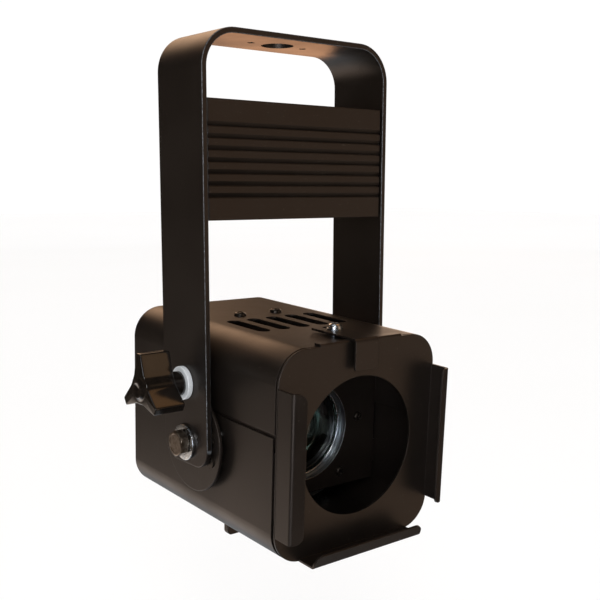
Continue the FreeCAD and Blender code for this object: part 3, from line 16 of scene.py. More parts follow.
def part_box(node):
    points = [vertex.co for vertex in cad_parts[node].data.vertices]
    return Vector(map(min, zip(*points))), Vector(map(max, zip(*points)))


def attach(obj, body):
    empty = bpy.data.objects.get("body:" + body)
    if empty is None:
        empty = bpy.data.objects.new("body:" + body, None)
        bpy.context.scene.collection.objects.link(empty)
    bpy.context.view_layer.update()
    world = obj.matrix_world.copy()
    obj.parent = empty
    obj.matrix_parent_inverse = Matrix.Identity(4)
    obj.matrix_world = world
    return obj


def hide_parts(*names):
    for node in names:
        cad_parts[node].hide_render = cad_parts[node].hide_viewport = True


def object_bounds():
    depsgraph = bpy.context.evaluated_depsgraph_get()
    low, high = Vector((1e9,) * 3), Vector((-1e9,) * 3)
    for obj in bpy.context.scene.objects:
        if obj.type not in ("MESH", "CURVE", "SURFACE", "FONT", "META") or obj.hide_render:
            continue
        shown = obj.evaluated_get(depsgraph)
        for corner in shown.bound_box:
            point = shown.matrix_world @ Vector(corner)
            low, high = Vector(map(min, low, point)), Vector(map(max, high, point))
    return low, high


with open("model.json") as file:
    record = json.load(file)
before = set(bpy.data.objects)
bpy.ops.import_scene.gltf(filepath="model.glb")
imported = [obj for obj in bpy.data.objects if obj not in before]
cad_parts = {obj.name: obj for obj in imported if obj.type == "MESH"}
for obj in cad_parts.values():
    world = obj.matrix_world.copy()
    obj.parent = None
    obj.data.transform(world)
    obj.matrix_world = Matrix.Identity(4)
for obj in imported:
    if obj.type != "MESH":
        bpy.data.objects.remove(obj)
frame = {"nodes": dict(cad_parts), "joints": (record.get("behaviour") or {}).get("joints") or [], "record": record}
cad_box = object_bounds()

MM = 0.001
PIVOT = np.array(next(j["pos_m"] for j in frame["joints"] if j["name"] == "head_tilt"))
RUNNER_AXIS = next(m["axis"] for m in frame["record"]["mounts"] if m["name"] == "colour_frame_slot")
TILT = math.atan2(-RUNNER_AXIS[1], RUNNER_AXIS[2])     # nose-down angle of the stored head
BODY_OF = {node: body for body, nodes in frame["record"]["behaviour"]["bodies"].items() for node in nodes}
SLOT_OF = {row["node"]: row["material_slot"] for row in frame["record"]["subparts"]}


# ---- Colour and nodes -----------------------------------------------------------------------------
def linear(hex_colour):
    """sRGB hex to linear RGBA: divide by 12.92 near black, else raise (c + 0.055) / 1.055 to 2.4."""
    values = [int(hex_colour[i:i + 2], 16) / 255 for i in (1, 3, 5)]
    return [v / 12.92 if v <= 0.04045 else ((v + 0.055) / 1.055) ** 2.4 for v in values] + [1.0]


def add(tree, kind, inputs=None, **settings):
    """Adds one node, sets its properties, and links or sets its inputs. Returns its first output."""
    node = tree.nodes.new(kind)
    for name, value in settings.items():
        setattr(node, name, value)
    for key, value in (inputs or {}).items():
        if isinstance(value, bpy.types.NodeSocket):
            tree.links.new(value, node.inputs[key])
        else:
            node.inputs[key].default_value = value
    return node.outputs[0] if node.outputs else node


def start_material(name):
    """A new material with its node tree, its shader, and coordinates fixed to the row frame."""
    material = bpy.data.materials.new(name)
    material.use_nodes = True
    tree = material.node_tree
    shader = tree.nodes["Principled BSDF"]
    coords = tree.nodes.new("ShaderNodeTexCoord").outputs["Object"]
    return material, tree, shader, coords


def noise(tree, coords, size_mm, detail=2.0, roughness=0.5):
    """Noise whose blotches are about size_mm across."""
    return add(tree, "ShaderNodeTexNoise", {"Vector": coords, "Scale": 1000.0 / size_mm,
                                            "Detail": detail, "Roughness": roughness})


def ramp(tree, value, low, high, to_low, to_high):
    """The value's stretch from low to high, carried to to_low and to_high and held there beyond."""
    return add(tree, "ShaderNodeMapRange", {"Value": value, "From Min": low, "From Max": high,
                                            "To Min": to_low, "To Max": to_high}, clamp=True)


def mix(tree, share, first, second):
    """The first colour where share is 0, the second where it is 1."""
    node = tree.nodes.new("ShaderNodeMix")
    node.data_type = "RGBA"
    tree.links.new(share, node.inputs[0])
    for slot, value in ((6, first), (7, second)):
        if isinstance(value, bpy.types.NodeSocket):
            tree.links.new(value, node.inputs[slot])
        else:
            node.inputs[slot].default_value = value
    return node.outputs[2]


def bump(tree, height, depth_mm, normal=None):
    """A normal tipped by height, as if the surface rose depth_mm where height is 1."""
    inputs = {"Height": height, "Distance": depth_mm * MM, "Strength": 1.0}
    if normal is not None:
        inputs["Normal"] = normal
    return add(tree, "ShaderNodeBump", inputs)


def connect(tree, shader, **sockets):
    """Links outputs to the shader's inputs, named with underscores for spaces."""
    for name, value in sockets.items():
        tree.links.new(value, shader.inputs[name.replace("_", " ")])


# ---- Materials ------------------------------------------------------------------------------------
# Sizes of what shows on the powder coat, in mm.
PEBBLE, PEEL, SMEAR, DUST_SPECK, COAT_EDGE_R = 0.35, 2.2, 38.0, 0.9, 0.5
# Width of the yoke's bare edge band and the size of its chips, in mm: rubbed wear that also paints a highlight
# line.
WEAR_AND_HIGHLIGHT_REACH, WEAR_AND_HIGHLIGHT_CHIP = 0.35, 1.3
# The wave texture fits about this many bands, light and dark, in one unit.
WAVE_BANDS = 6.28
SPUN_RING, BOARD_WEAVE, BOARD_TRACK = 0.4, 1.3, 2.5


def powder_coat(name="black polyester powder coat", edge_wear_and_highlight=None):
    """Polyester powder sprayed on steel and baked: near-black satin with a fine pebbled skin, its reflections
    warmed by a painted warm tint.

    The pebbles are 0.35 mm across, over a slower orange peel of 2.2 mm. The film draws back to a
    0.5 mm round on every cut edge, which catches a thin light line. A few specks of dust and faint
    handling smears change the gloss. The optional mask function makes the share, 0 to 1, of bare metal
    at each point: rubbed wear, and also a painted highlight line along the edges."""
    material, tree, shader, coords = start_material(name)
    pebbles = noise(tree, coords, PEBBLE, 2.0)
    peel = noise(tree, coords, PEEL, 1.0)
    smears = noise(tree, coords, SMEAR, 3.0, 0.6)
    dust = ramp(tree, noise(tree, coords, DUST_SPECK, 1.0), 0.74, 0.80, 0.0, 1.0)
    colour = mix(tree, ramp(tree, smears, 0.35, 0.7, 0.0, 1.0), linear("#120f0d"), linear("#191512"))
    colour = mix(tree, dust, colour, linear("#4b443d"))
    roughness = ramp(tree, smears, 0.3, 0.7, 0.34, 0.44)
    rounded = add(tree, "ShaderNodeBevel", {"Radius": COAT_EDGE_R * MM}, samples=4)
    normal = bump(tree, peel, 0.012, bump(tree, pebbles, 0.010, rounded))
    if edge_wear_and_highlight is not None:
        wear_and_highlight = edge_wear_and_highlight(tree, coords)
        # The edge mask lays pale bare metal: rubbed wear, and also a painted highlight line along the yoke's
        # edges.
        colour = mix(tree, wear_and_highlight, colour, linear("#9aa1a8"))
        connect(tree, shader, Metallic=wear_and_highlight)
    connect(tree, shader, Base_Color=colour, Roughness=roughness, Normal=normal)
    shader.inputs["Specular IOR Level"].default_value = 0.5
    # Warm specular tint: painted warm reflection on the coat.
    shader.inputs["Specular Tint"].default_value = linear("#ffeadb")
    return material


def yoke_edge_wear_and_highlight(tree, coords):
    """Bare metal along the strip's front and rear corners, the outer 0.35 mm broken up by noise: rubbed wear, and
    also a painted highlight line.
    """
    half_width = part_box("yoke_strip")[1].y
    across = add(tree, "ShaderNodeSeparateXYZ", {"Vector": coords}).node.outputs[1]
    reach = add(tree, "ShaderNodeMath", {0: across}, operation="ABSOLUTE")
    edge = ramp(tree, reach, half_width - WEAR_AND_HIGHLIGHT_REACH * MM, half_width - 0.1 * MM, 0.0, 1.0)
    face = ramp(tree, reach, half_width - 0.06 * MM, half_width - 0.01 * MM, 1.0, 0.0)
    chips = ramp(tree, noise(tree, coords, WEAR_AND_HIGHLIGHT_CHIP, 4.0, 0.65), 0.4, 0.58, 0.08, 0.5)
    both = add(tree, "ShaderNodeMath", {0: edge, 1: face}, operation="MULTIPLY")
    return add(tree, "ShaderNodeMath", {0: both, 1: chips}, operation="MULTIPLY")


def shaded_dark_zinc(name="zinc plate darkened as painted shade"):
    """Zinc-plated bolt heads made a dull brown-olive metal, mottled and a little rubbed: painted shade and painted
    dim reflection on bright zinc.
    """
    material, tree, shader, coords = start_material(name)
    clouds = noise(tree, coords, 1.8, 4.0, 0.6)
    # Brown-olive colours: painted shade, a darker copy of the washers' bright zinc.
    colour = mix(tree, ramp(tree, clouds, 0.35, 0.65, 0.0, 1.0), linear("#5a4e42"), linear("#7d7062"))
    connect(tree, shader, Base_Color=colour, Roughness=ramp(tree, clouds, 0.3, 0.7, 0.28, 0.44),
            Normal=bump(tree, noise(tree, coords, 0.3), 0.006))
    shader.inputs["Metallic"].default_value = 0.9
    return material


def zinc_plate(name="bright zinc plate", tint="#d6dbdf"):
    """Zinc electroplated on steel and passivated: bright, slightly blue, with cloudy patches."""
    material, tree, shader, coords = start_material(name)
    clouds = noise(tree, coords, 3.5, 3.0)
    grain = noise(tree, coords, 0.25, 2.0)
    colour = mix(tree, ramp(tree, clouds, 0.35, 0.65, 0.0, 1.0), linear(tint), linear("#bcc4cb"))
    connect(tree, shader, Base_Color=colour, Roughness=ramp(tree, clouds, 0.3, 0.7, 0.20, 0.30),
            Normal=bump(tree, grain, 0.002))
    shader.inputs["Metallic"].default_value = 1.0
    return material


def spun_zinc(name="spun zinc-plated steel"):
    """The lens barrel: spun on a lathe, so faint rings 0.4 mm apart run round the optical axis."""
    material, tree, shader, coords = start_material(name)
    slope = math.tan(TILT)
    split = add(tree, "ShaderNodeSeparateXYZ", {"Vector": coords}).node
    along = add(tree, "ShaderNodeMath", {0: split.outputs[2], 1: slope, 2: split.outputs[1]},
                operation="MULTIPLY_ADD")
    rings = add(tree, "ShaderNodeTexNoise", {"W": along, "Scale": 1000.0 / SPUN_RING, "Detail": 2.0},
                noise_dimensions="1D")
    clouds = noise(tree, coords, 5.0, 2.0)
    colour = mix(tree, ramp(tree, clouds, 0.3, 0.7, 0.0, 1.0), linear("#e2e6e9"), linear("#cdd5dc"))
    connect(tree, shader, Base_Color=colour, Normal=bump(tree, rings, 0.008),
            Roughness=ramp(tree, rings, 0.3, 0.7, 0.26, 0.36))
    shader.inputs["Metallic"].default_value = 1.0
    return material


def black_oxide(name="black oxide steel"):
    """Hot-blacked screw steel: dark, a little brown, with a dull metallic glint."""
    material, tree, shader, coords = start_material(name)
    patches = noise(tree, coords, 1.2, 3.0)
    colour = mix(tree, ramp(tree, patches, 0.35, 0.7, 0.0, 1.0), linear("#2b2622"), linear("#4a433c"))
    connect(tree, shader, Base_Color=colour, Roughness=ramp(tree, patches, 0.3, 0.7, 0.26, 0.42))
    shader.inputs["Metallic"].default_value = 0.85
    return material


def knob_phenolic(name="polished black phenolic moulding"):
    """Compression-moulded phenolic: deep brown-black, high gloss, with a slow moulding ripple."""
    material, tree, shader, coords = start_material(name)
    ripple = noise(tree, coords, 5.0, 1.0)
    scuffs = ramp(tree, noise(tree, coords, 0.7, 4.0, 0.7), 0.5, 0.75, 0.0, 1.0)
    colour = mix(tree, ramp(tree, ripple, 0.3, 0.7, 0.0, 1.0), linear("#0d0a08"), linear("#15100c"))
    connect(tree, shader, Base_Color=colour, Roughness=ramp(tree, scuffs, 0.0, 1.0, 0.11, 0.2),
            Normal=bump(tree, ripple, 0.02))
    shader.inputs["Specular IOR Level"].default_value = 0.62
    shader.inputs["Coat Weight"].default_value = 0.3
    shader.inputs["Coat Roughness"].default_value = 0.06
    return material


def moulded_nylon(name, light, dark, roughness=(0.4, 0.55), grain_mm=0.5):
    """Injection-moulded nylon: soft satin with a fine spark-eroded grain and a slight colour drift."""
    material, tree, shader, coords = start_material(name)
    drift = noise(tree, coords, 9.0, 2.0)
    grain = noise(tree, coords, grain_mm, 2.0)
    colour = mix(tree, ramp(tree, drift, 0.3, 0.7, 0.0, 1.0), linear(light), linear(dark))
    connect(tree, shader, Base_Color=colour, Normal=bump(tree, grain, 0.015),
            Roughness=ramp(tree, drift, 0.3, 0.7, *roughness))
    return material


def heat_glass(name="polished heat-absorbing glass"):
    """Pressed and polished lens glass, IOR 1.52, so smoky green that the lamp behind it stays dark."""
    material, tree, shader, coords = start_material(name)
    haze = noise(tree, coords, 14.0, 3.0)
    connect(tree, shader, Roughness=ramp(tree, haze, 0.4, 0.75, 0.01, 0.06))
    shader.inputs["Base Color"].default_value = linear("#76857f")
    shader.inputs["Transmission Weight"].default_value = 1.0
    shader.inputs["IOR"].default_value = 1.52
    return material


def quartz(name="fused quartz envelope"):
    """Quartz drawn into tube and closed in a flame, IOR 1.46: clear and colourless, faintly streaked."""
    material, tree, shader, coords = start_material(name)
    streaks = noise(tree, coords, 2.5, 2.0)
    connect(tree, shader, Roughness=ramp(tree, streaks, 0.3, 0.7, 0.02, 0.09))
    shader.inputs["Base Color"].default_value = linear("#f2f4f4")
    shader.inputs["Transmission Weight"].default_value = 0.9
    shader.inputs["IOR"].default_value = 1.46
    return material


def shaded_dichroic_mirror(name="dichroic glass darkened as painted shade"):
    """Vacuum-coated reflector glass drifting pink to green, made a dark mirror as painted shade for the dark
    inside of the lamp house.
    """
    material, tree, shader, coords = start_material(name)
    drift = noise(tree, coords, 11.0, 2.0)
    # Near-black colours: painted shade inside the lamp house, with a real pink-to-green drift.
    colour = mix(tree, ramp(tree, drift, 0.35, 0.65, 0.0, 1.0), linear("#302a2d"), linear("#262e2b"))
    connect(tree, shader, Base_Color=colour, Roughness=ramp(tree, drift, 0.3, 0.7, 0.06, 0.14))
    shader.inputs["Metallic"].default_value = 0.95
    return material


def steatite(name="fired steatite"):
    """Dry-pressed and fired steatite: chalky cream with faint speckle and a pressed-grain skin."""
    material, tree, shader, coords = start_material(name)
    speckle = ramp(tree, noise(tree, coords, 0.4, 3.0), 0.6, 0.72, 0.0, 0.5)
    colour = mix(tree, speckle, linear("#ddd8c9"), linear("#b9b09a"))
    connect(tree, shader, Base_Color=colour, Normal=bump(tree, noise(tree, coords, 0.3), 0.02),
            Roughness=ramp(tree, speckle, 0.0, 0.5, 0.5, 0.62))
    return material


def vulcanised_fibre(name="vulcanised fibre"):
    """Washers punched from pressed fibre board: dull brown, mottled and slightly raised by fibres."""
    material, tree, shader, coords = start_material(name)
    fibres = noise(tree, coords, 0.6, 4.0, 0.7)
    colour = mix(tree, ramp(tree, fibres, 0.3, 0.7, 0.0, 1.0), linear("#5b3a26"), linear("#744a30"))
    connect(tree, shader, Base_Color=colour, Normal=bump(tree, fibres, 0.03),
            Roughness=ramp(tree, fibres, 0.3, 0.7, 0.6, 0.75))
    return material


def glass_epoxy(name="glass-epoxy laminate"):
    """Printed board: green solder mask whose 1.3 mm weave just shows, with a pale track every 5 mm."""
    material, tree, shader, coords = start_material(name)
    weave = add(tree, "ShaderNodeTexChecker", {"Vector": coords, "Scale": 1000.0 / BOARD_WEAVE,
                                               "Color1": linear("#0f3d22"), "Color2": linear("#124729")})
    scale = 1000.0 / (BOARD_TRACK * WAVE_BANDS)
    tracks = add(tree, "ShaderNodeTexWave", {"Vector": coords, "Scale": scale, "Distortion": 0.0},
                 bands_direction="X")
    colour = mix(tree, ramp(tree, tracks, 0.85, 0.9, 0.0, 0.6), weave, linear("#5f7a4c"))
    connect(tree, shader, Base_Color=colour, Roughness=ramp(tree, tracks, 0.0, 1.0, 0.3, 0.22))
    return material


def banded(name, light, dark, band_mm, direction, metallic, roughness, depth_mm):
    """Fine parallel bands, light and dark in turn, each about band_mm wide, as on wound wire or stacked
    laminations. The light bands stand up and are the glossier ones."""
    material, tree, shader, coords = start_material(name)
    scale = 1000.0 / (band_mm * WAVE_BANDS)
    bands = add(tree, "ShaderNodeTexWave", {"Vector": coords, "Scale": scale, "Distortion": 0.4,
                                            "Detail": 1.0}, bands_direction=direction)
    colour = mix(tree, bands, linear(dark), linear(light))
    connect(tree, shader, Base_Color=colour, Normal=bump(tree, bands, depth_mm),
            Roughness=ramp(tree, bands, 0.0, 1.0, roughness + 0.12, roughness))
    shader.inputs["Metallic"].default_value = metallic
    return material


def make_materials():
    """One finish for each of the record's material slots."""
    return {
        "black_coat": powder_coat(),
        "zinc_plate": zinc_plate(),
        "black_screw": black_oxide(),
        "knob_plastic": knob_phenolic(),
        "nylon": moulded_nylon("natural grey nylon", "#e3e7ea", "#cfd5da", (0.3, 0.45), 0.8),
        "clear_glass": heat_glass(),
        "mirror_glass": shaded_dichroic_mirror(),
        "quartz": quartz(),
        "white_ceramic": steatite(),
        "fibre": vulcanised_fibre(),
        "board": glass_epoxy(),
        # enamelled wire wound in layers, 1.2 mm from turn to turn: a warm, ribbed metal
        "copper": banded("enamelled copper wire", "#b5673a", "#5e2c16", 0.6, "Z", 0.9, 0.25, 0.12),
        # varnished transformer laminations, 1 mm from one to the next: dull, finely lined grey
        "core_steel": banded("varnished laminations", "#55534f", "#2b2a28", 0.5, "Y", 0.6, 0.4, 0.06),
        "capacitor_sleeve": moulded_nylon("shrunk PVC sleeve", "#0c1524", "#101b2e", (0.25, 0.35), 1.5),
        "terminal_plastic": moulded_nylon("natural terminal nylon", "#d8d8d0", "#c6c6bb"),
        "black_nylon": moulded_nylon("black gland nylon", "#121212", "#1b1a19", (0.42, 0.55), 0.6),
    }


# ---- Mesh making ----------------------------------------------------------------------------------
def grid_faces(rows, columns, wrap_rows, wrap_columns):
    """Quads between neighbouring points of a rows x columns grid, joined round where it wraps."""
    r = np.arange(rows if wrap_rows else rows - 1)
    c = np.arange(columns if wrap_columns else columns - 1)
    r, c = np.meshgrid(r, c, indexing="ij")
    r2, c2 = (r + 1) % rows, (c + 1) % columns
    quads = np.stack([r * columns + c, r * columns + c2, r2 * columns + c2, r2 * columns + c], axis=-1)
    return quads.reshape(-1, 4)


def mesh_piece(name, parts, material, smooth_angle=35.0):
    """One object from (points, quads) parts, welded, with faces outwards and sharp edges kept."""
    points = np.concatenate([p for p, _ in parts])
    offsets = np.cumsum([0] + [len(p) for p, _ in parts[:-1]])
    quads = np.concatenate([q + o for (_, q), o in zip(parts, offsets)])
    mesh = bpy.data.meshes.new(name)
    mesh.from_pydata(points.tolist(), [], quads.tolist())
    welded = bmesh.new()
    welded.from_mesh(mesh)
    bmesh.ops.remove_doubles(welded, verts=welded.verts, dist=1e-6)
    bmesh.ops.dissolve_degenerate(welded, edges=welded.edges, dist=1e-7)
    bmesh.ops.recalc_face_normals(welded, faces=welded.faces)
    welded.to_mesh(mesh)
    welded.free()
    mesh.shade_smooth()
    mesh.set_sharp_from_angle(angle=math.radians(smooth_angle))
    mesh.materials.append(material)
    piece = bpy.data.objects.new(name, mesh)
    bpy.context.scene.collection.objects.link(piece)
    return piece


def install(piece, node):
    """The piece stands for a CAD node and rides on its body, and the node is hidden."""
    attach(piece, BODY_OF[node])
    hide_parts(node)


def row_from_pivot(points):
    """Points given from the tilt axis, in mm, to the row frame in metres."""
    return points * MM + PIVOT


def row_from_head(points):
    """Points in the level head's own frame, in mm, tipped nose-down and moved to the row frame."""
    c, s = math.cos(TILT), math.sin(TILT)
    turn = np.array([[1, 0, 0], [0, c, -s], [0, s, c]])
    return row_from_pivot(points @ turn.T)


def frame_of(direction):
    """Two unit vectors square to the direction, so that (first, second, direction) is right-handed."""
    w = np.array(direction, float) / np.linalg.norm(direction)
    helper = np.array([0, 0, 1.0]) if abs(w[2]) < 0.9 else np.array([1.0, 0, 0])
    u = np.cross(helper, w)
    u /= np.linalg.norm(u)
    return u, np.cross(w, u), w


def placed(local, centre, direction):
    """Local (across, up, along) points carried to centre, with +along pointing along direction."""
    u, v, w = frame_of(direction)
    return np.asarray(centre, float) + local @ np.stack([u, v, w])


def angles(count):
    """Equal steps round a full circle, in radians."""
    return np.arange(count) * 2 * math.pi / count


def smooth_profile(points, radius, steps=5):
    """A profile with each inner corner rounded: quadratic curves between points cut back by radius."""
    points = np.asarray(points, float)
    out = [points[0]]
    for before, here, after in zip(points, points[1:], points[2:]):
        back, ahead = before - here, after - here
        cut = min(radius, np.linalg.norm(back) * 0.45, np.linalg.norm(ahead) * 0.45)
        first = here + back / np.linalg.norm(back) * cut
        last = here + ahead / np.linalg.norm(ahead) * cut
        t = np.linspace(0, 1, steps)[:, None]
        out.extend((1 - t) ** 2 * first + 2 * t * (1 - t) * here + t ** 2 * last)
    out.append(points[-1])
    return np.array(out)


def lathe(profile, count=96, ripple=None):
    """(radius, along) profile turned full circle. ripple(angle, radius, along) adds to the radius."""
    radius, along = np.asarray(profile, float).T
    theta = angles(count)[None, :]
    r = np.repeat(radius[:, None], count, 1)
    if ripple is not None:
        r = r + ripple(theta, radius[:, None], along[:, None])
    points = np.stack([r * np.cos(theta), r * np.sin(theta), np.repeat(along[:, None], count, 1)], -1)
    return points.reshape(-1, 3), grid_faces(len(radius), count, False, True)


# ---- Fasteners ------------------------------------------------------------------------------------
# Screws, in mm: head radius, head height, shank radius and shank length.
CLIP_SCREW = (3.8, 2.7, 2.0, 7.5)
ROOF_SCREW = (3.61, 2.28, 1.9, 4.6)
REAR_SCREW = (3.23, 2.04, 1.7, 7.0)
LENS_PLATE_SCREW = (2.85, 1.8, 1.5, 4.4)
BOX_SCREW = (2.85, 1.8, 1.5, 6.0)
# Shares of a screw head's radius, its height or its shank's radius.
RECESS_REACH, RECESS_FADE, RECESS_ARM, RECESS_DEPTH = 0.52, 0.05, 0.13, 0.62
THREAD_PITCH, THREAD_RIDGE = 0.32, 0.08
# Pivot bolt and washer, in mm.
HEX_FLATS, HEX_HEIGHT, HEX_DISH, HEX_BEVEL = 13.0, 5.3, 0.18, 28.0
BOLT_R, BOLT_LENGTH, BOLT_PITCH, BOLT_THREADED = 4.0, 21.0, 1.25, 14.0
WASHER_R, WASHER, WASHER_EDGE_R, RUNNING = 10.0, 1.6, 0.35, 0.05
# Places, in mm from the tilt axis with the head level.
CLIP_SCREW_AT = (0, -49, 65.80)
ROOF_SCREWS_AT = [(x, 22, 62.5) for x in (-13, 13)]
REAR_SCREWS_AT = [(x, 75.2, z) for x in (-42, 42) for z in (-38.1, 50.5)]
LENS_Z, PLATE_Y = 2.0, -27.7
LENS_SCREW_CIRCLE_R, LENS_SCREW_ANGLES = 38.2, (5, 175, 228, 312)
UP, BACK, FRONT = (0, 0, 1), (0, 1, 0), (0, -1, 0)
SCREW_COLUMNS, HEX_COLUMNS = 72, 144


def screw_parts(head_r, head_height, shank_r, length, place, direction, turn=0.0):
    """A pan-head screw with a cross recess, standing at place with its head along direction.

    The head's top is a flat-crowned dome: height * (1 - (r / R) ^ 4) ^ 0.4. The recess is the larger
    of two crossed bars, each a steep bell across its width, fading to nothing near RECESS_REACH * R.
    The shank's radius rises and falls as a cosine, once for each turn of the thread."""
    share = np.concatenate([np.linspace(0, 0.6, 22), np.linspace(0.62, 1, 14)])
    theta = angles(SCREW_COLUMNS)[None, :] + turn
    r = share[:, None] * head_r
    dome = head_height * np.sqrt(np.clip(1 - share[:, None] ** 4, 0, 1)) ** 0.8
    x, y = r * np.cos(theta - turn), r * np.sin(theta - turn)
    arm = head_r * RECESS_ARM
    reach = 1 / (1 + np.exp((np.hypot(x, y) - RECESS_REACH * head_r) / (RECESS_FADE * head_r)))
    bars = np.maximum(np.exp(-(x / arm) ** 6), np.exp(-(y / arm) ** 6))
    top = dome - bars * reach * head_height * RECESS_DEPTH
    points = np.stack([r * np.cos(theta), r * np.sin(theta), np.broadcast_to(top, x.shape)], -1)
    cap = (points.reshape(-1, 3), grid_faces(len(share), SCREW_COLUMNS, False, True))
    pitch = shank_r * THREAD_PITCH
    along = np.arange(0, length, pitch / 4)
    radius = shank_r * (1 - THREAD_RIDGE + THREAD_RIDGE * np.cos(along / pitch * 2 * math.pi))
    profile = [(head_r, 0), (shank_r, 0)] + list(zip(radius, -along)) + [(0, -length)]
    shank = lathe(profile, SCREW_COLUMNS)
    return [(placed(p, place, direction), q) for p, q in (cap, shank)]


def screws(node, places, direction, sizes, to_row, material, turns=(0.3, 1.1, 0.7, 0.0)):
    """All of one node's screws as one piece, each recess turned its own way."""
    parts = []
    for place, turn in zip(places, turns):
        parts += screw_parts(*sizes, place, direction, turn=turn)
    parts = [(to_row(p), q) for p, q in parts]
    install(mesh_piece(node + "_formed", parts, material), node)


def hex_bolt_parts(place, direction):
    """The pivot bolt, turned as rings from the crown's middle down to the thread's end.

    The hexagon's radius is flats / 2 / cos(angle to the nearest flat's middle). Its top is bevelled by
    HEX_BEVEL degrees outside a circle 0.95 of the flats, which scallops the six sides. The crown is
    dished inside a raised rim, and the last BOLT_THREADED mm carry a cosine thread."""
    theta = angles(HEX_COLUMNS)[None, :]
    nearest = (theta + math.pi / 6) % (math.pi / 3) - math.pi / 6
    hexagon = HEX_FLATS / 2 / np.cos(nearest)
    circle = HEX_FLATS / 2 * 0.95
    slope = math.tan(math.radians(HEX_BEVEL))
    rings = []
    for share in (0.0, 0.3, 0.6, 0.82, 0.86, 0.97, 1.0):
        crown = HEX_HEIGHT - (HEX_DISH if share < 0.84 else 0.0)
        rings.append((circle * share, crown))
    for share in (0.5, 0.92):
        r = circle + (hexagon - circle) * share
        rings.append((r, HEX_HEIGHT - (r - circle) * slope))
    bottom_of_bevel = HEX_HEIGHT - (hexagon - circle) * slope - 0.08
    rings.append((hexagon, bottom_of_bevel))
    for share in (0.6, 0.2, 0.03):
        rings.append((hexagon, bottom_of_bevel * share + 0.4 * (1 - share)))
    rings += [(HEX_FLATS / 2 * 0.96, 0.3), (HEX_FLATS / 2 * 0.95, 0.0), (BOLT_R, 0.0)]
    for t in np.arange(0, BOLT_LENGTH, BOLT_PITCH / 4):
        thread = 0.97 + 0.03 * math.cos(t / BOLT_PITCH * 2 * math.pi)
        rings.append((BOLT_R * (thread if t > BOLT_LENGTH - BOLT_THREADED else 1.0), -t))
    rings.append((0.0, -BOLT_LENGTH))
    r = np.concatenate([np.broadcast_to(radius, theta.shape) for radius, _ in rings])
    z = np.concatenate([np.broadcast_to(height, theta.shape) for _, height in rings])
    points = np.stack([r * np.cos(theta), r * np.sin(theta), z], -1).reshape(-1, 3)
    return placed(points, place, direction), grid_faces(len(rings), HEX_COLUMNS, False, True)


def place_fasteners(materials):
    """Bolts, washers and screws. The driver box's screws are found from their own CAD box."""
    zinc, dark = materials["zinc_plate"], materials["black_screw"]
    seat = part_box("yoke_strip")[1].x / MM + RUNNING
    section = [(BOLT_R, 0), (WASHER_R, 0), (WASHER_R, WASHER), (BOLT_R, WASHER), (BOLT_R, 0)]
    points, quads = lathe(smooth_profile(section, WASHER_EDGE_R))
    bolts, washers = [], []
    for side in (-1, 1):
        outwards = (side, 0, 0)
        washers.append((placed(points, (side * seat, 0, 0), outwards), quads))
        bolts.append(hex_bolt_parts((side * (seat + WASHER), 0, 0), outwards))
    # The bolts take the darkened zinc, which is painted shade; the washers keep bright zinc.
    for node, parts, finish in (("pivot_bolts", bolts, shaded_dark_zinc()), ("pivot_washers", washers, zinc)):
        parts = [(row_from_head(p), q) for p, q in parts]
        install(mesh_piece(node + "_formed", parts, finish), node)
    screws("frame_clip_screw", [CLIP_SCREW_AT], UP, CLIP_SCREW, row_from_head, zinc, (0.5,))
    screws("top_screws", ROOF_SCREWS_AT, UP, ROOF_SCREW, row_from_head, dark)
    screws("rear_screws", REAR_SCREWS_AT, BACK, REAR_SCREW, row_from_head, dark)
    ring = [(LENS_SCREW_CIRCLE_R * math.cos(a), PLATE_Y, LENS_Z + LENS_SCREW_CIRCLE_R * math.sin(a))
            for a in map(math.radians, LENS_SCREW_ANGLES)]
    screws("lens_screws", ring, FRONT, LENS_PLATE_SCREW, row_from_head, dark)
    low, high = (np.array(corner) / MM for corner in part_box("driver_screws"))
    rear, head_r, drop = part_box("driver_pan")[1].y / MM, BOX_SCREW[0], PIVOT[2] / MM
    spots = [(x, rear, z - drop) for x in (low[0] + head_r, high[0] - head_r)
             for z in (low[2] + head_r, high[2] - head_r)]
    screws("driver_screws", spots, BACK, BOX_SCREW, row_from_pivot, dark)


# ---- Tilt lock knob -------------------------------------------------------------------------------
KNOB_AXIS_Z = 33.2
LOBE_TIP, TIP_HALF, ROOT_HALF, HUB = 19.0, 2.2, 5.0, 8.2
KNOB_DEPTH, KNOB_EDGE_R, KNOB_COLUMNS = 17.5, 0.75, 480
BOSS_LENGTH, BOSS_R, STUD_R, STUD_HOLE = 7.0, 6.8, 4.0, 4.0
NYLON_WASHER = 3.05        # with its running gap
DOME_R, DOME_CROWN_R, DOME, DIMPLE_R = 6.0, 4.5, 1.4, 5.0


def knob_outline(theta):
    """Radius of the three-lobed outline at each angle from straight up.

    A lobe is a wedge whose sides draw in from ROOT_HALF at the hub to TIP_HALF at the tip. Its radius
    is the smaller of tip / cos and the side's distance, (tip half + slope * tip) / (sin + slope * cos),
    blended by a power mean so that its corners round. Lobes and hub join by the opposite mean."""
    nearest = (theta + math.pi / 3) % (2 * math.pi / 3) - math.pi / 3
    cosine = np.clip(np.cos(nearest), 1e-3, 1)
    sine = np.clip(np.abs(np.sin(nearest)), 1e-3, 1)
    slope = (ROOT_HALF - TIP_HALF) / (LOBE_TIP - HUB)
    side = (TIP_HALF + slope * LOBE_TIP) / (sine + slope * cosine)
    lobe = ((LOBE_TIP / cosine) ** -40 + side ** -40) ** (-1 / 40)
    return (lobe ** 16 + HUB ** 16) ** (1 / 16)


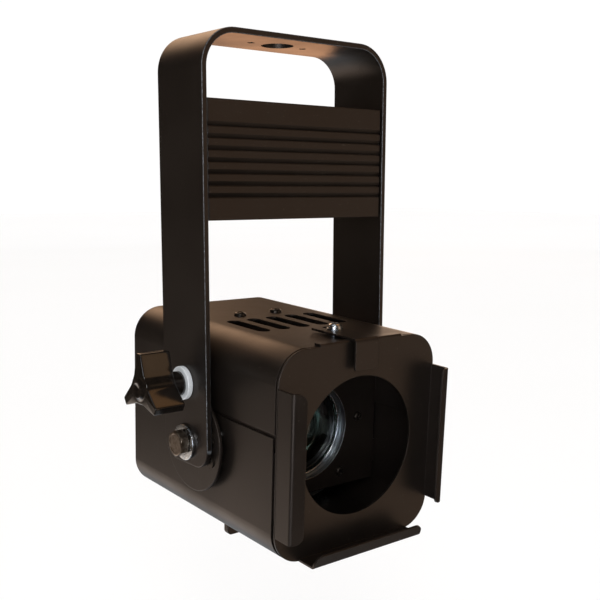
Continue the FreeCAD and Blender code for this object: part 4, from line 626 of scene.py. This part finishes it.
def make_knob(materials):
    """The outline is carried from the outer face to the seat, drawn in by a quarter circle at both
    ends. The outer face has a bevelled crown with a round dimple, and a boss runs to the seat."""
    face = -(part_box("yoke_strip")[1].x / MM) - NYLON_WASHER - BOSS_LENGTH - KNOB_DEPTH
    theta = angles(KNOB_COLUMNS)[None, :]
    outline = knob_outline(theta)
    quarter = np.linspace(0, 1, 7) * math.pi / 2
    sine, cosine = np.sin(quarter), np.cos(quarter)
    shrink = list(KNOB_EDGE_R * (1 - sine)) + [0.0] * 6 + list(KNOB_EDGE_R * (1 - cosine))
    along = list(KNOB_EDGE_R * (1 - cosine))
    along += list(np.linspace(KNOB_EDGE_R, KNOB_DEPTH - KNOB_EDGE_R, 8)[1:-1])
    along += list(KNOB_DEPTH - KNOB_EDGE_R + KNOB_EDGE_R * sine)
    rings = [(a, math.sqrt(DIMPLE_R ** 2 - a ** 2) - DIMPLE_R)
             for a in (0.0, 0.7, 1.4, 2.1, 2.7, 3.2, 3.45)]
    rings += [(3.6, -DOME), (DOME_CROWN_R, -DOME), (DOME_CROWN_R + 0.25, -DOME + 0.18),
              (DOME_R, -0.12), (DOME_R + 0.2, 0.0)]
    rings.append((np.minimum(outline - KNOB_EDGE_R, 7.0), 0.0))
    rings += [(np.maximum(outline - a, 0.1), b) for a, b in zip(shrink, along)]
    rings.append((np.minimum(outline - KNOB_EDGE_R, 7.3), KNOB_DEPTH))
    boss = [(7.0, 0.0), (6.85, 0.2), (BOSS_R, 0.6), (BOSS_R, BOSS_LENGTH - 0.4), (6.4, BOSS_LENGTH),
            (STUD_R, BOSS_LENGTH), (STUD_R, STUD_HOLE)]
    rings += [(radius, KNOB_DEPTH + extra) for radius, extra in boss]
    r = np.concatenate([np.broadcast_to(radius, theta.shape) for radius, _ in rings])
    x = np.array([b for _, b in rings])[:, None] + np.zeros_like(r)
    points = np.stack([face + x, r * np.sin(-theta), KNOB_AXIS_Z + r * np.cos(theta)], -1).reshape(-1, 3)
    quads = grid_faces(len(rings), KNOB_COLUMNS, False, True)
    knob = mesh_piece("lobed_knob", [(row_from_pivot(points), quads)], materials["knob_plastic"])
    install(knob, "tilt_knob")


# ---- Lens, barrel and lamp ------------------------------------------------------------------------
# All in mm. Depths run back from the front face of the lens plate, or from the level tilt axis.
BARREL_NOSE, BARREL_SEAT, BARREL_WALL = -0.8, 9.3, 1.2
BARREL_R, BARREL_OUTER_R, FLANGE_R, SEAT_R = 27.6, 28.5, 41.0, 25.5
LENS_R, LENS_EDGE, LENS_DOME, LENS_CHAMFER = 27.3, 3.2, 8.0, 0.3
SNAP_WIRE_R, SNAP_BEHIND = 0.7, 1.5
MOUTH, BOWL_DEPTH, NECK_R, BOWL_R, BOWL_WALL = 5.0, 26.0, 8.0, 21.8, 1.6
RIM_R, RIM, BOWL_LIP = 24.8, 3.0, 0.6
FACETS, FACET_LENGTH, FACET_DEPTH = 12, 3.0, 0.45
BURNER_R, BURNER_SETBACK = 4.2, 9.0


def optical(parts):
    """Lathe parts whose axis runs back along +Y from the optical centre line, in the row frame."""
    return [(row_from_head(placed(p, (0, 0, LENS_Z), BACK)), q) for p, q in parts]


def make_barrel():
    """The spun barrel, turned from its section: a shallowly ridged bore, a seat and a wide flange."""
    nose, flange, seat = PLATE_Y + BARREL_NOSE, PLATE_Y + BARREL_WALL, PLATE_Y + BARREL_SEAT
    ridges = [(27.6, 6.6), (27.95, 6.2), (27.75, 4.6), (28.0, 4.2), (27.8, 2.2), (28.1, 1.8), (28.15, 0)]
    section = [(BARREL_R, seat)] + [(radius, nose + depth) for radius, depth in ridges]
    section += [(BARREL_OUTER_R, nose), (BARREL_OUTER_R, flange), (FLANGE_R, flange),
                (FLANGE_R, flange + BARREL_WALL), (BARREL_OUTER_R, flange + BARREL_WALL),
                (BARREL_OUTER_R, seat + BARREL_WALL), (SEAT_R, seat + BARREL_WALL), (SEAT_R, seat),
                (BARREL_R, seat)]
    turned = lathe(smooth_profile(section, 0.3, 4), 192)
    install(mesh_piece("spun_lens_barrel", optical([turned]), spun_zinc()), "lens_barrel")


def make_lens(materials):
    """A plano-convex lens. Its front is a sphere of radius (R^2 + dome^2) / (2 * dome). The snap ring
    in front of it is a round wire turned full circle."""
    seat = PLATE_Y + BARREL_SEAT
    sphere = (LENS_R ** 2 + LENS_DOME ** 2) / (2 * LENS_DOME)
    r = np.linspace(0, LENS_R - LENS_CHAMFER, 40)
    front = seat - LENS_EDGE - LENS_DOME + sphere - np.sqrt(sphere ** 2 - r ** 2)
    section = list(zip(r, front)) + [(LENS_R, front[-1] + 0.4), (LENS_R, seat - LENS_CHAMFER),
                                     (LENS_R - LENS_CHAMFER, seat), (0, seat)]
    turned = optical([lathe(section, 160)])
    install(mesh_piece("plano_convex_lens", turned, materials["clear_glass"], 50), "lens")
    phi = angles(24)
    wire = np.stack([BARREL_R - SNAP_WIRE_R + SNAP_WIRE_R * np.cos(phi),
                     seat - LENS_EDGE - SNAP_BEHIND + SNAP_WIRE_R * np.sin(phi)], -1)
    turned = optical([lathe(np.concatenate([wire, wire[:1]]), 160)])
    install(mesh_piece("lens_snap_ring", turned, materials["zinc_plate"]), "lens_spring")


def facets(theta, radius, at):
    """Dents on the bowl's inner wall, 24 round and FACET_LENGTH apart: sine across times sine along."""
    dent = np.abs(np.sin(theta * FACETS)) * np.abs(np.sin((at - MOUTH) / FACET_LENGTH * math.pi))
    inner = (radius < BOWL_R - BOWL_WALL) & (at > MOUTH + 3.5) & (at < MOUTH + BOWL_DEPTH - 2)
    return np.where(inner, FACET_DEPTH * dent - 0.2, 0.0)


def make_lamp(materials):
    """The reflector bowl, whose radius is neck + (bowl - neck) * sqrt(1 - depth share), and a quartz
    burner with a half-round tip."""
    along = np.linspace(RIM, BOWL_DEPTH, 25)
    outer = NECK_R + (BOWL_R - NECK_R) * np.sqrt(np.clip(1 - along / BOWL_DEPTH, 0, 1))
    section = [(RIM_R, MOUTH), (RIM_R, MOUTH + RIM)] + list(zip(outer, MOUTH + along))
    section += list(zip(outer - BOWL_WALL, MOUTH + along))[::-1]
    section += [(outer[0] - BOWL_WALL + BOWL_LIP, MOUTH), (RIM_R, MOUTH)]
    turned = optical([lathe(section, 192, facets)])
    install(mesh_piece("faceted_reflector", turned, materials["mirror_glass"], 60), "lamp_reflector")
    t = np.linspace(0, math.pi / 2, 12)
    section = list(zip(BURNER_R * np.sin(t), MOUTH + BURNER_SETBACK + BURNER_R * (1 - np.cos(t))))
    section += [(BURNER_R, MOUTH + BOWL_DEPTH), (0, MOUTH + BOWL_DEPTH)]
    turned = optical([lathe(section, 64)])
    install(mesh_piece("quartz_burner", turned, materials["quartz"], 60), "lamp_capsule")


# ---- Cable glands ---------------------------------------------------------------------------------
# In mm. The body's radius, and how far the dome nut stands out.
BOX_GLAND, HEAD_GLAND = (7.5, 13.0), (8.0, 15.0)
GLAND_BORE_R, GLAND_THREAD_R, GLAND_INSIDE, GLAND_RIBS, RIB_HEIGHT = 3.2, 5.0, 5.7, 36, 0.22
BOX_GLAND_X = 28.0
HEAD_GLAND_AT = (0, 75.2, -28.0)


def gland_parts(sizes, place):
    """A gland pointing back: a collar, then a dome nut whose radius carries a cosine of 36 ribs, and
    a bored mouth."""
    body_r, length = sizes

    def ribs(theta, radius, along):
        """Ribs on the nut's cone alone."""
        band = (along > 3.4) & (along < length - 2.0) & (radius > 4.2)
        return np.where(band, RIB_HEIGHT * np.cos(GLAND_RIBS * theta), 0.0)

    section = [(GLAND_BORE_R, -GLAND_INSIDE), (GLAND_THREAD_R, -GLAND_INSIDE), (GLAND_THREAD_R, 0),
               (body_r, 0), (body_r, 3.0), (body_r - 0.7, 3.2), (body_r - 0.8, 3.6),
               (body_r * 0.78, length - 2.2), (body_r * 0.62, length - 0.4), (4.2, length),
               (GLAND_BORE_R, length - 0.5), (GLAND_BORE_R, -GLAND_INSIDE)]
    points, quads = lathe(smooth_profile(section, 0.4, 4), 216, ribs)
    return placed(points, place, BACK), quads


def make_glands(materials):
    """Two glands behind the driver box, and one behind the head."""
    box_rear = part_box("driver_pan")[1].y / MM
    low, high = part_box("mains_gland")
    level = (low.z + high.z) / 2 / MM - PIVOT[2] / MM
    glands = [("mains_gland", BOX_GLAND, (BOX_GLAND_X, box_rear, level), row_from_pivot),
              ("output_gland", BOX_GLAND, (-BOX_GLAND_X, box_rear, level), row_from_pivot),
              ("cable_gland", HEAD_GLAND, HEAD_GLAND_AT, row_from_head)]
    for node, sizes, place, to_row in glands:
        points, quads = gland_parts(sizes, place)
        piece = mesh_piece(node + "_ribbed", [(to_row(points), quads)], materials["black_nylon"])
        install(piece, node)


# ---- Studio ---------------------------------------------------------------------------------------
# In metres, watts and degrees, except for the camera's place, which is in mm from the tilt axis.
FLOOR_HALF, FLOOR_DROP = 12.0, 0.22
ROOM_RADIUS, ROOM_ROWS, ROOM_COLUMNS = 6.0, 33, 64
ROOM_COLOUR, ROOM_STRENGTH = "#574b41", 0.4
KEY_TOWARDS, KEY_SIZE, KEY_POWER = (-0.55, -0.75, 0.55), 0.25, 1.6
WORLD_COLOUR, WORLD_STRENGTH = "#fefdfd", 1.03
SENSOR_WIDTH, FOCAL_LENGTH = 36.0, 54.66       # both in mm
SHIFT_X, SHIFT_Y = -0.0270, 0.0656             # shares of the sensor's width
CAMERA_FROM_PIVOT = (-312.62, -420.68, 139.87)
YAW, PITCH, ROLL = 39.08, -9.67, 0.35


def make_floor():
    """A wide pale floor, well below the hanging lamp."""
    half, level = FLOOR_HALF, cad_box[0].z - FLOOR_DROP
    corners = [(-half, -half, level), (half, -half, level), (half, half, level), (-half, half, level)]
    mesh = bpy.data.meshes.new("studio_floor")
    mesh.from_pydata(corners, [], [(0, 1, 2, 3)])
    floor = bpy.data.objects.new("studio_floor", mesh)
    bpy.context.scene.collection.objects.link(floor)
    material, tree, shader, coords = start_material("pale studio paper")
    shade = noise(tree, coords, 900.0, 2.0)
    connect(tree, shader, Base_Color=mix(tree, shade, linear("#fcfcfb"), linear("#fefefe")))
    shader.inputs["Roughness"].default_value = 0.9
    shader.inputs["Specular IOR Level"].default_value = 0.1
    mesh.materials.append(material)
    floor.visible_glossy = False


# Soft lights of the studio dome: direction, half width in degrees, colour and strength.
SOFT_LIGHTS = [
    ((0.10, 0.45, -1.00), 54, "#dde6ee", 0.85),    # floor bounce, cool
    ((-0.48, 0.78, -0.70), 24, "#dccabb", 2.20),   # floor behind on the left
    ((-0.66, 0.75, 0.02), 12, "#d8b898", 0.20),    # dim wall behind on the left
    ((0.62, -0.74, -0.38), 40, "#d8bda4", 0.80),   # floor in front on the right, warm
    ((0.50, -0.80, 0.28), 20, "#cfa57c", 0.95),    # lamp-lit wall in front on the right
    ((0.50, -0.10, 0.85), 24, "#d8a06c", 1.30),    # warm ceiling on the right
    ((0.64, 0.74, -0.28), 19, "#e5a87c", 3.20),    # warm floor behind on the right
    ((0.22, 0.83, 0.52), 24, "#e6bc98", 3.40),     # warm wall behind
    ((0.77, 0.62, 0.13), 13, "#f0cdb0", 4.00),     # wall on the right
    ((-0.78, -0.58, -0.06), 19, "#eef4ff", 9.00),  # front-left window
    ((-0.30, 0.10, 1.00), 34, "#eef2f6", 1.10),    # overhead softbox
]


def make_dome():
    """A sphere of soft light that only reflections see, so that the satin black pieces show their
    shape. Each light is a smooth spot about its direction, added to a dim warm room."""
    polar = np.linspace(0, math.pi, ROOM_ROWS)[:, None]
    theta = angles(ROOM_COLUMNS)[None, :]
    points = ROOM_RADIUS * np.stack([np.sin(polar) * np.cos(theta), np.sin(polar) * np.sin(theta),
                                     np.cos(polar) + 0 * theta], -1).reshape(-1, 3)
    quads = grid_faces(ROOM_ROWS, ROOM_COLUMNS, False, True)
    mesh = bpy.data.meshes.new("studio_dome")
    mesh.from_pydata(points.tolist(), [], quads.tolist())
    dome = bpy.data.objects.new("studio_dome", mesh)
    bpy.context.scene.collection.objects.link(dome)
    material = bpy.data.materials.new("studio dome light")
    material.use_nodes = True
    tree = material.node_tree
    tree.nodes.clear()
    coords = tree.nodes.new("ShaderNodeTexCoord").outputs["Object"]
    away = add(tree, "ShaderNodeVectorMath", {0: coords}, operation="NORMALIZE")
    total = add(tree, "ShaderNodeVectorMath", {0: linear(ROOM_COLOUR)[:3], 1: (ROOM_STRENGTH,) * 3},
                operation="MULTIPLY")
    for direction, half_width, colour, strength in SOFT_LIGHTS:
        facing = tree.nodes.new("ShaderNodeVectorMath")
        facing.operation = "DOT_PRODUCT"
        tree.links.new(away, facing.inputs[0])
        facing.inputs[1].default_value = Vector(direction).normalized()
        spot = add(tree, "ShaderNodeMapRange", {"Value": facing.outputs["Value"], "From Max": 1.0,
                                                "From Min": math.cos(math.radians(half_width))},
                   interpolation_type="SMOOTHSTEP")
        tint = [c * strength for c in linear(colour)[:3]]
        total = add(tree, "ShaderNodeVectorMath", {0: spot, 1: tint, 2: total}, operation="MULTIPLY_ADD")
    light = add(tree, "ShaderNodeEmission", {"Color": total, "Strength": 1.0})
    add(tree, "ShaderNodeOutputMaterial", {"Surface": light})
    material.cycles.emission_sampling = "NONE"
    mesh.materials.append(material)
    dome.visible_camera = False
    dome.visible_diffuse = False
    dome.visible_shadow = False


def make_key():
    """A soft box one metre off, front left and high, for glints on rims and knob edges."""
    data = bpy.data.lights.new("soft_key", "AREA")
    data.shape, data.size, data.energy = "SQUARE", KEY_SIZE, KEY_POWER
    key = bpy.data.objects.new("soft_key", data)
    bpy.context.scene.collection.objects.link(key)
    towards = Vector(KEY_TOWARDS).normalized()
    place = Vector(PIVOT) + towards
    key.matrix_world = Matrix.Translation(place) @ towards.to_track_quat("Z", "Y").to_matrix().to_4x4()


def make_world():
    """An almost white surround, seen as it is: no tone curve."""
    world = bpy.data.worlds.new("pale surround")
    world.use_nodes = True
    background = world.node_tree.nodes["Background"]
    background.inputs["Color"].default_value = linear(WORLD_COLOUR)
    background.inputs["Strength"].default_value = WORLD_STRENGTH
    bpy.context.scene.world = world
    bpy.context.scene.view_settings.view_transform = "Standard"


def make_camera():
    """A short portrait lens in front, on the left and a little above, looking slightly down."""
    data = bpy.data.cameras.new("studio_camera")
    data.sensor_width, data.lens = SENSOR_WIDTH, FOCAL_LENGTH
    data.shift_x, data.shift_y = SHIFT_X, SHIFT_Y
    data.clip_start, data.clip_end = 0.01, 60.0
    camera = bpy.data.objects.new("studio_camera", data)
    bpy.context.scene.collection.objects.link(camera)
    yaw, pitch, roll = (math.radians(a) for a in (YAW, PITCH, ROLL))
    forward = Vector((math.sin(yaw) * math.cos(pitch), math.cos(yaw) * math.cos(pitch), math.sin(pitch)))
    right = Vector((math.cos(yaw), -math.sin(yaw), 0))
    up = right.cross(forward)
    rolled_right = right * math.cos(roll) + up * math.sin(roll)
    rolled_up = up * math.cos(roll) - right * math.sin(roll)
    turn = Matrix((rolled_right, rolled_up, -forward)).transposed().to_4x4()
    place = Vector(PIVOT) + Vector(CAMERA_FROM_PIVOT) * MM
    camera.matrix_world = Matrix.Translation(place) @ turn
    bpy.context.scene.camera = camera


def main():
    """Gives every CAD node its finish, then makes the finer pieces and the studio."""
    materials = make_materials()
    for node, piece in frame["nodes"].items():
        piece.data.materials.clear()
        piece.data.materials.append(materials[SLOT_OF[node]])
    # The rivets take black oxide over their zinc slot: painted shade for the dark gap between arm and disc.
    frame["nodes"]["disc_rivets"].data.materials[0] = materials["black_screw"]
    yoke = frame["nodes"]["yoke_strip"].data.materials
    # The yoke's coat gets rubbed edges that also paint a highlight line.
    yoke[0] = powder_coat("black powder coat with rubbed edges", yoke_edge_wear_and_highlight)
    place_fasteners(materials)
    make_knob(materials)
    make_barrel()
    make_lens(materials)
    make_lamp(materials)
    make_glands(materials)
    make_floor()
    make_dome()
    make_key()
    make_world()
    make_camera()


main()
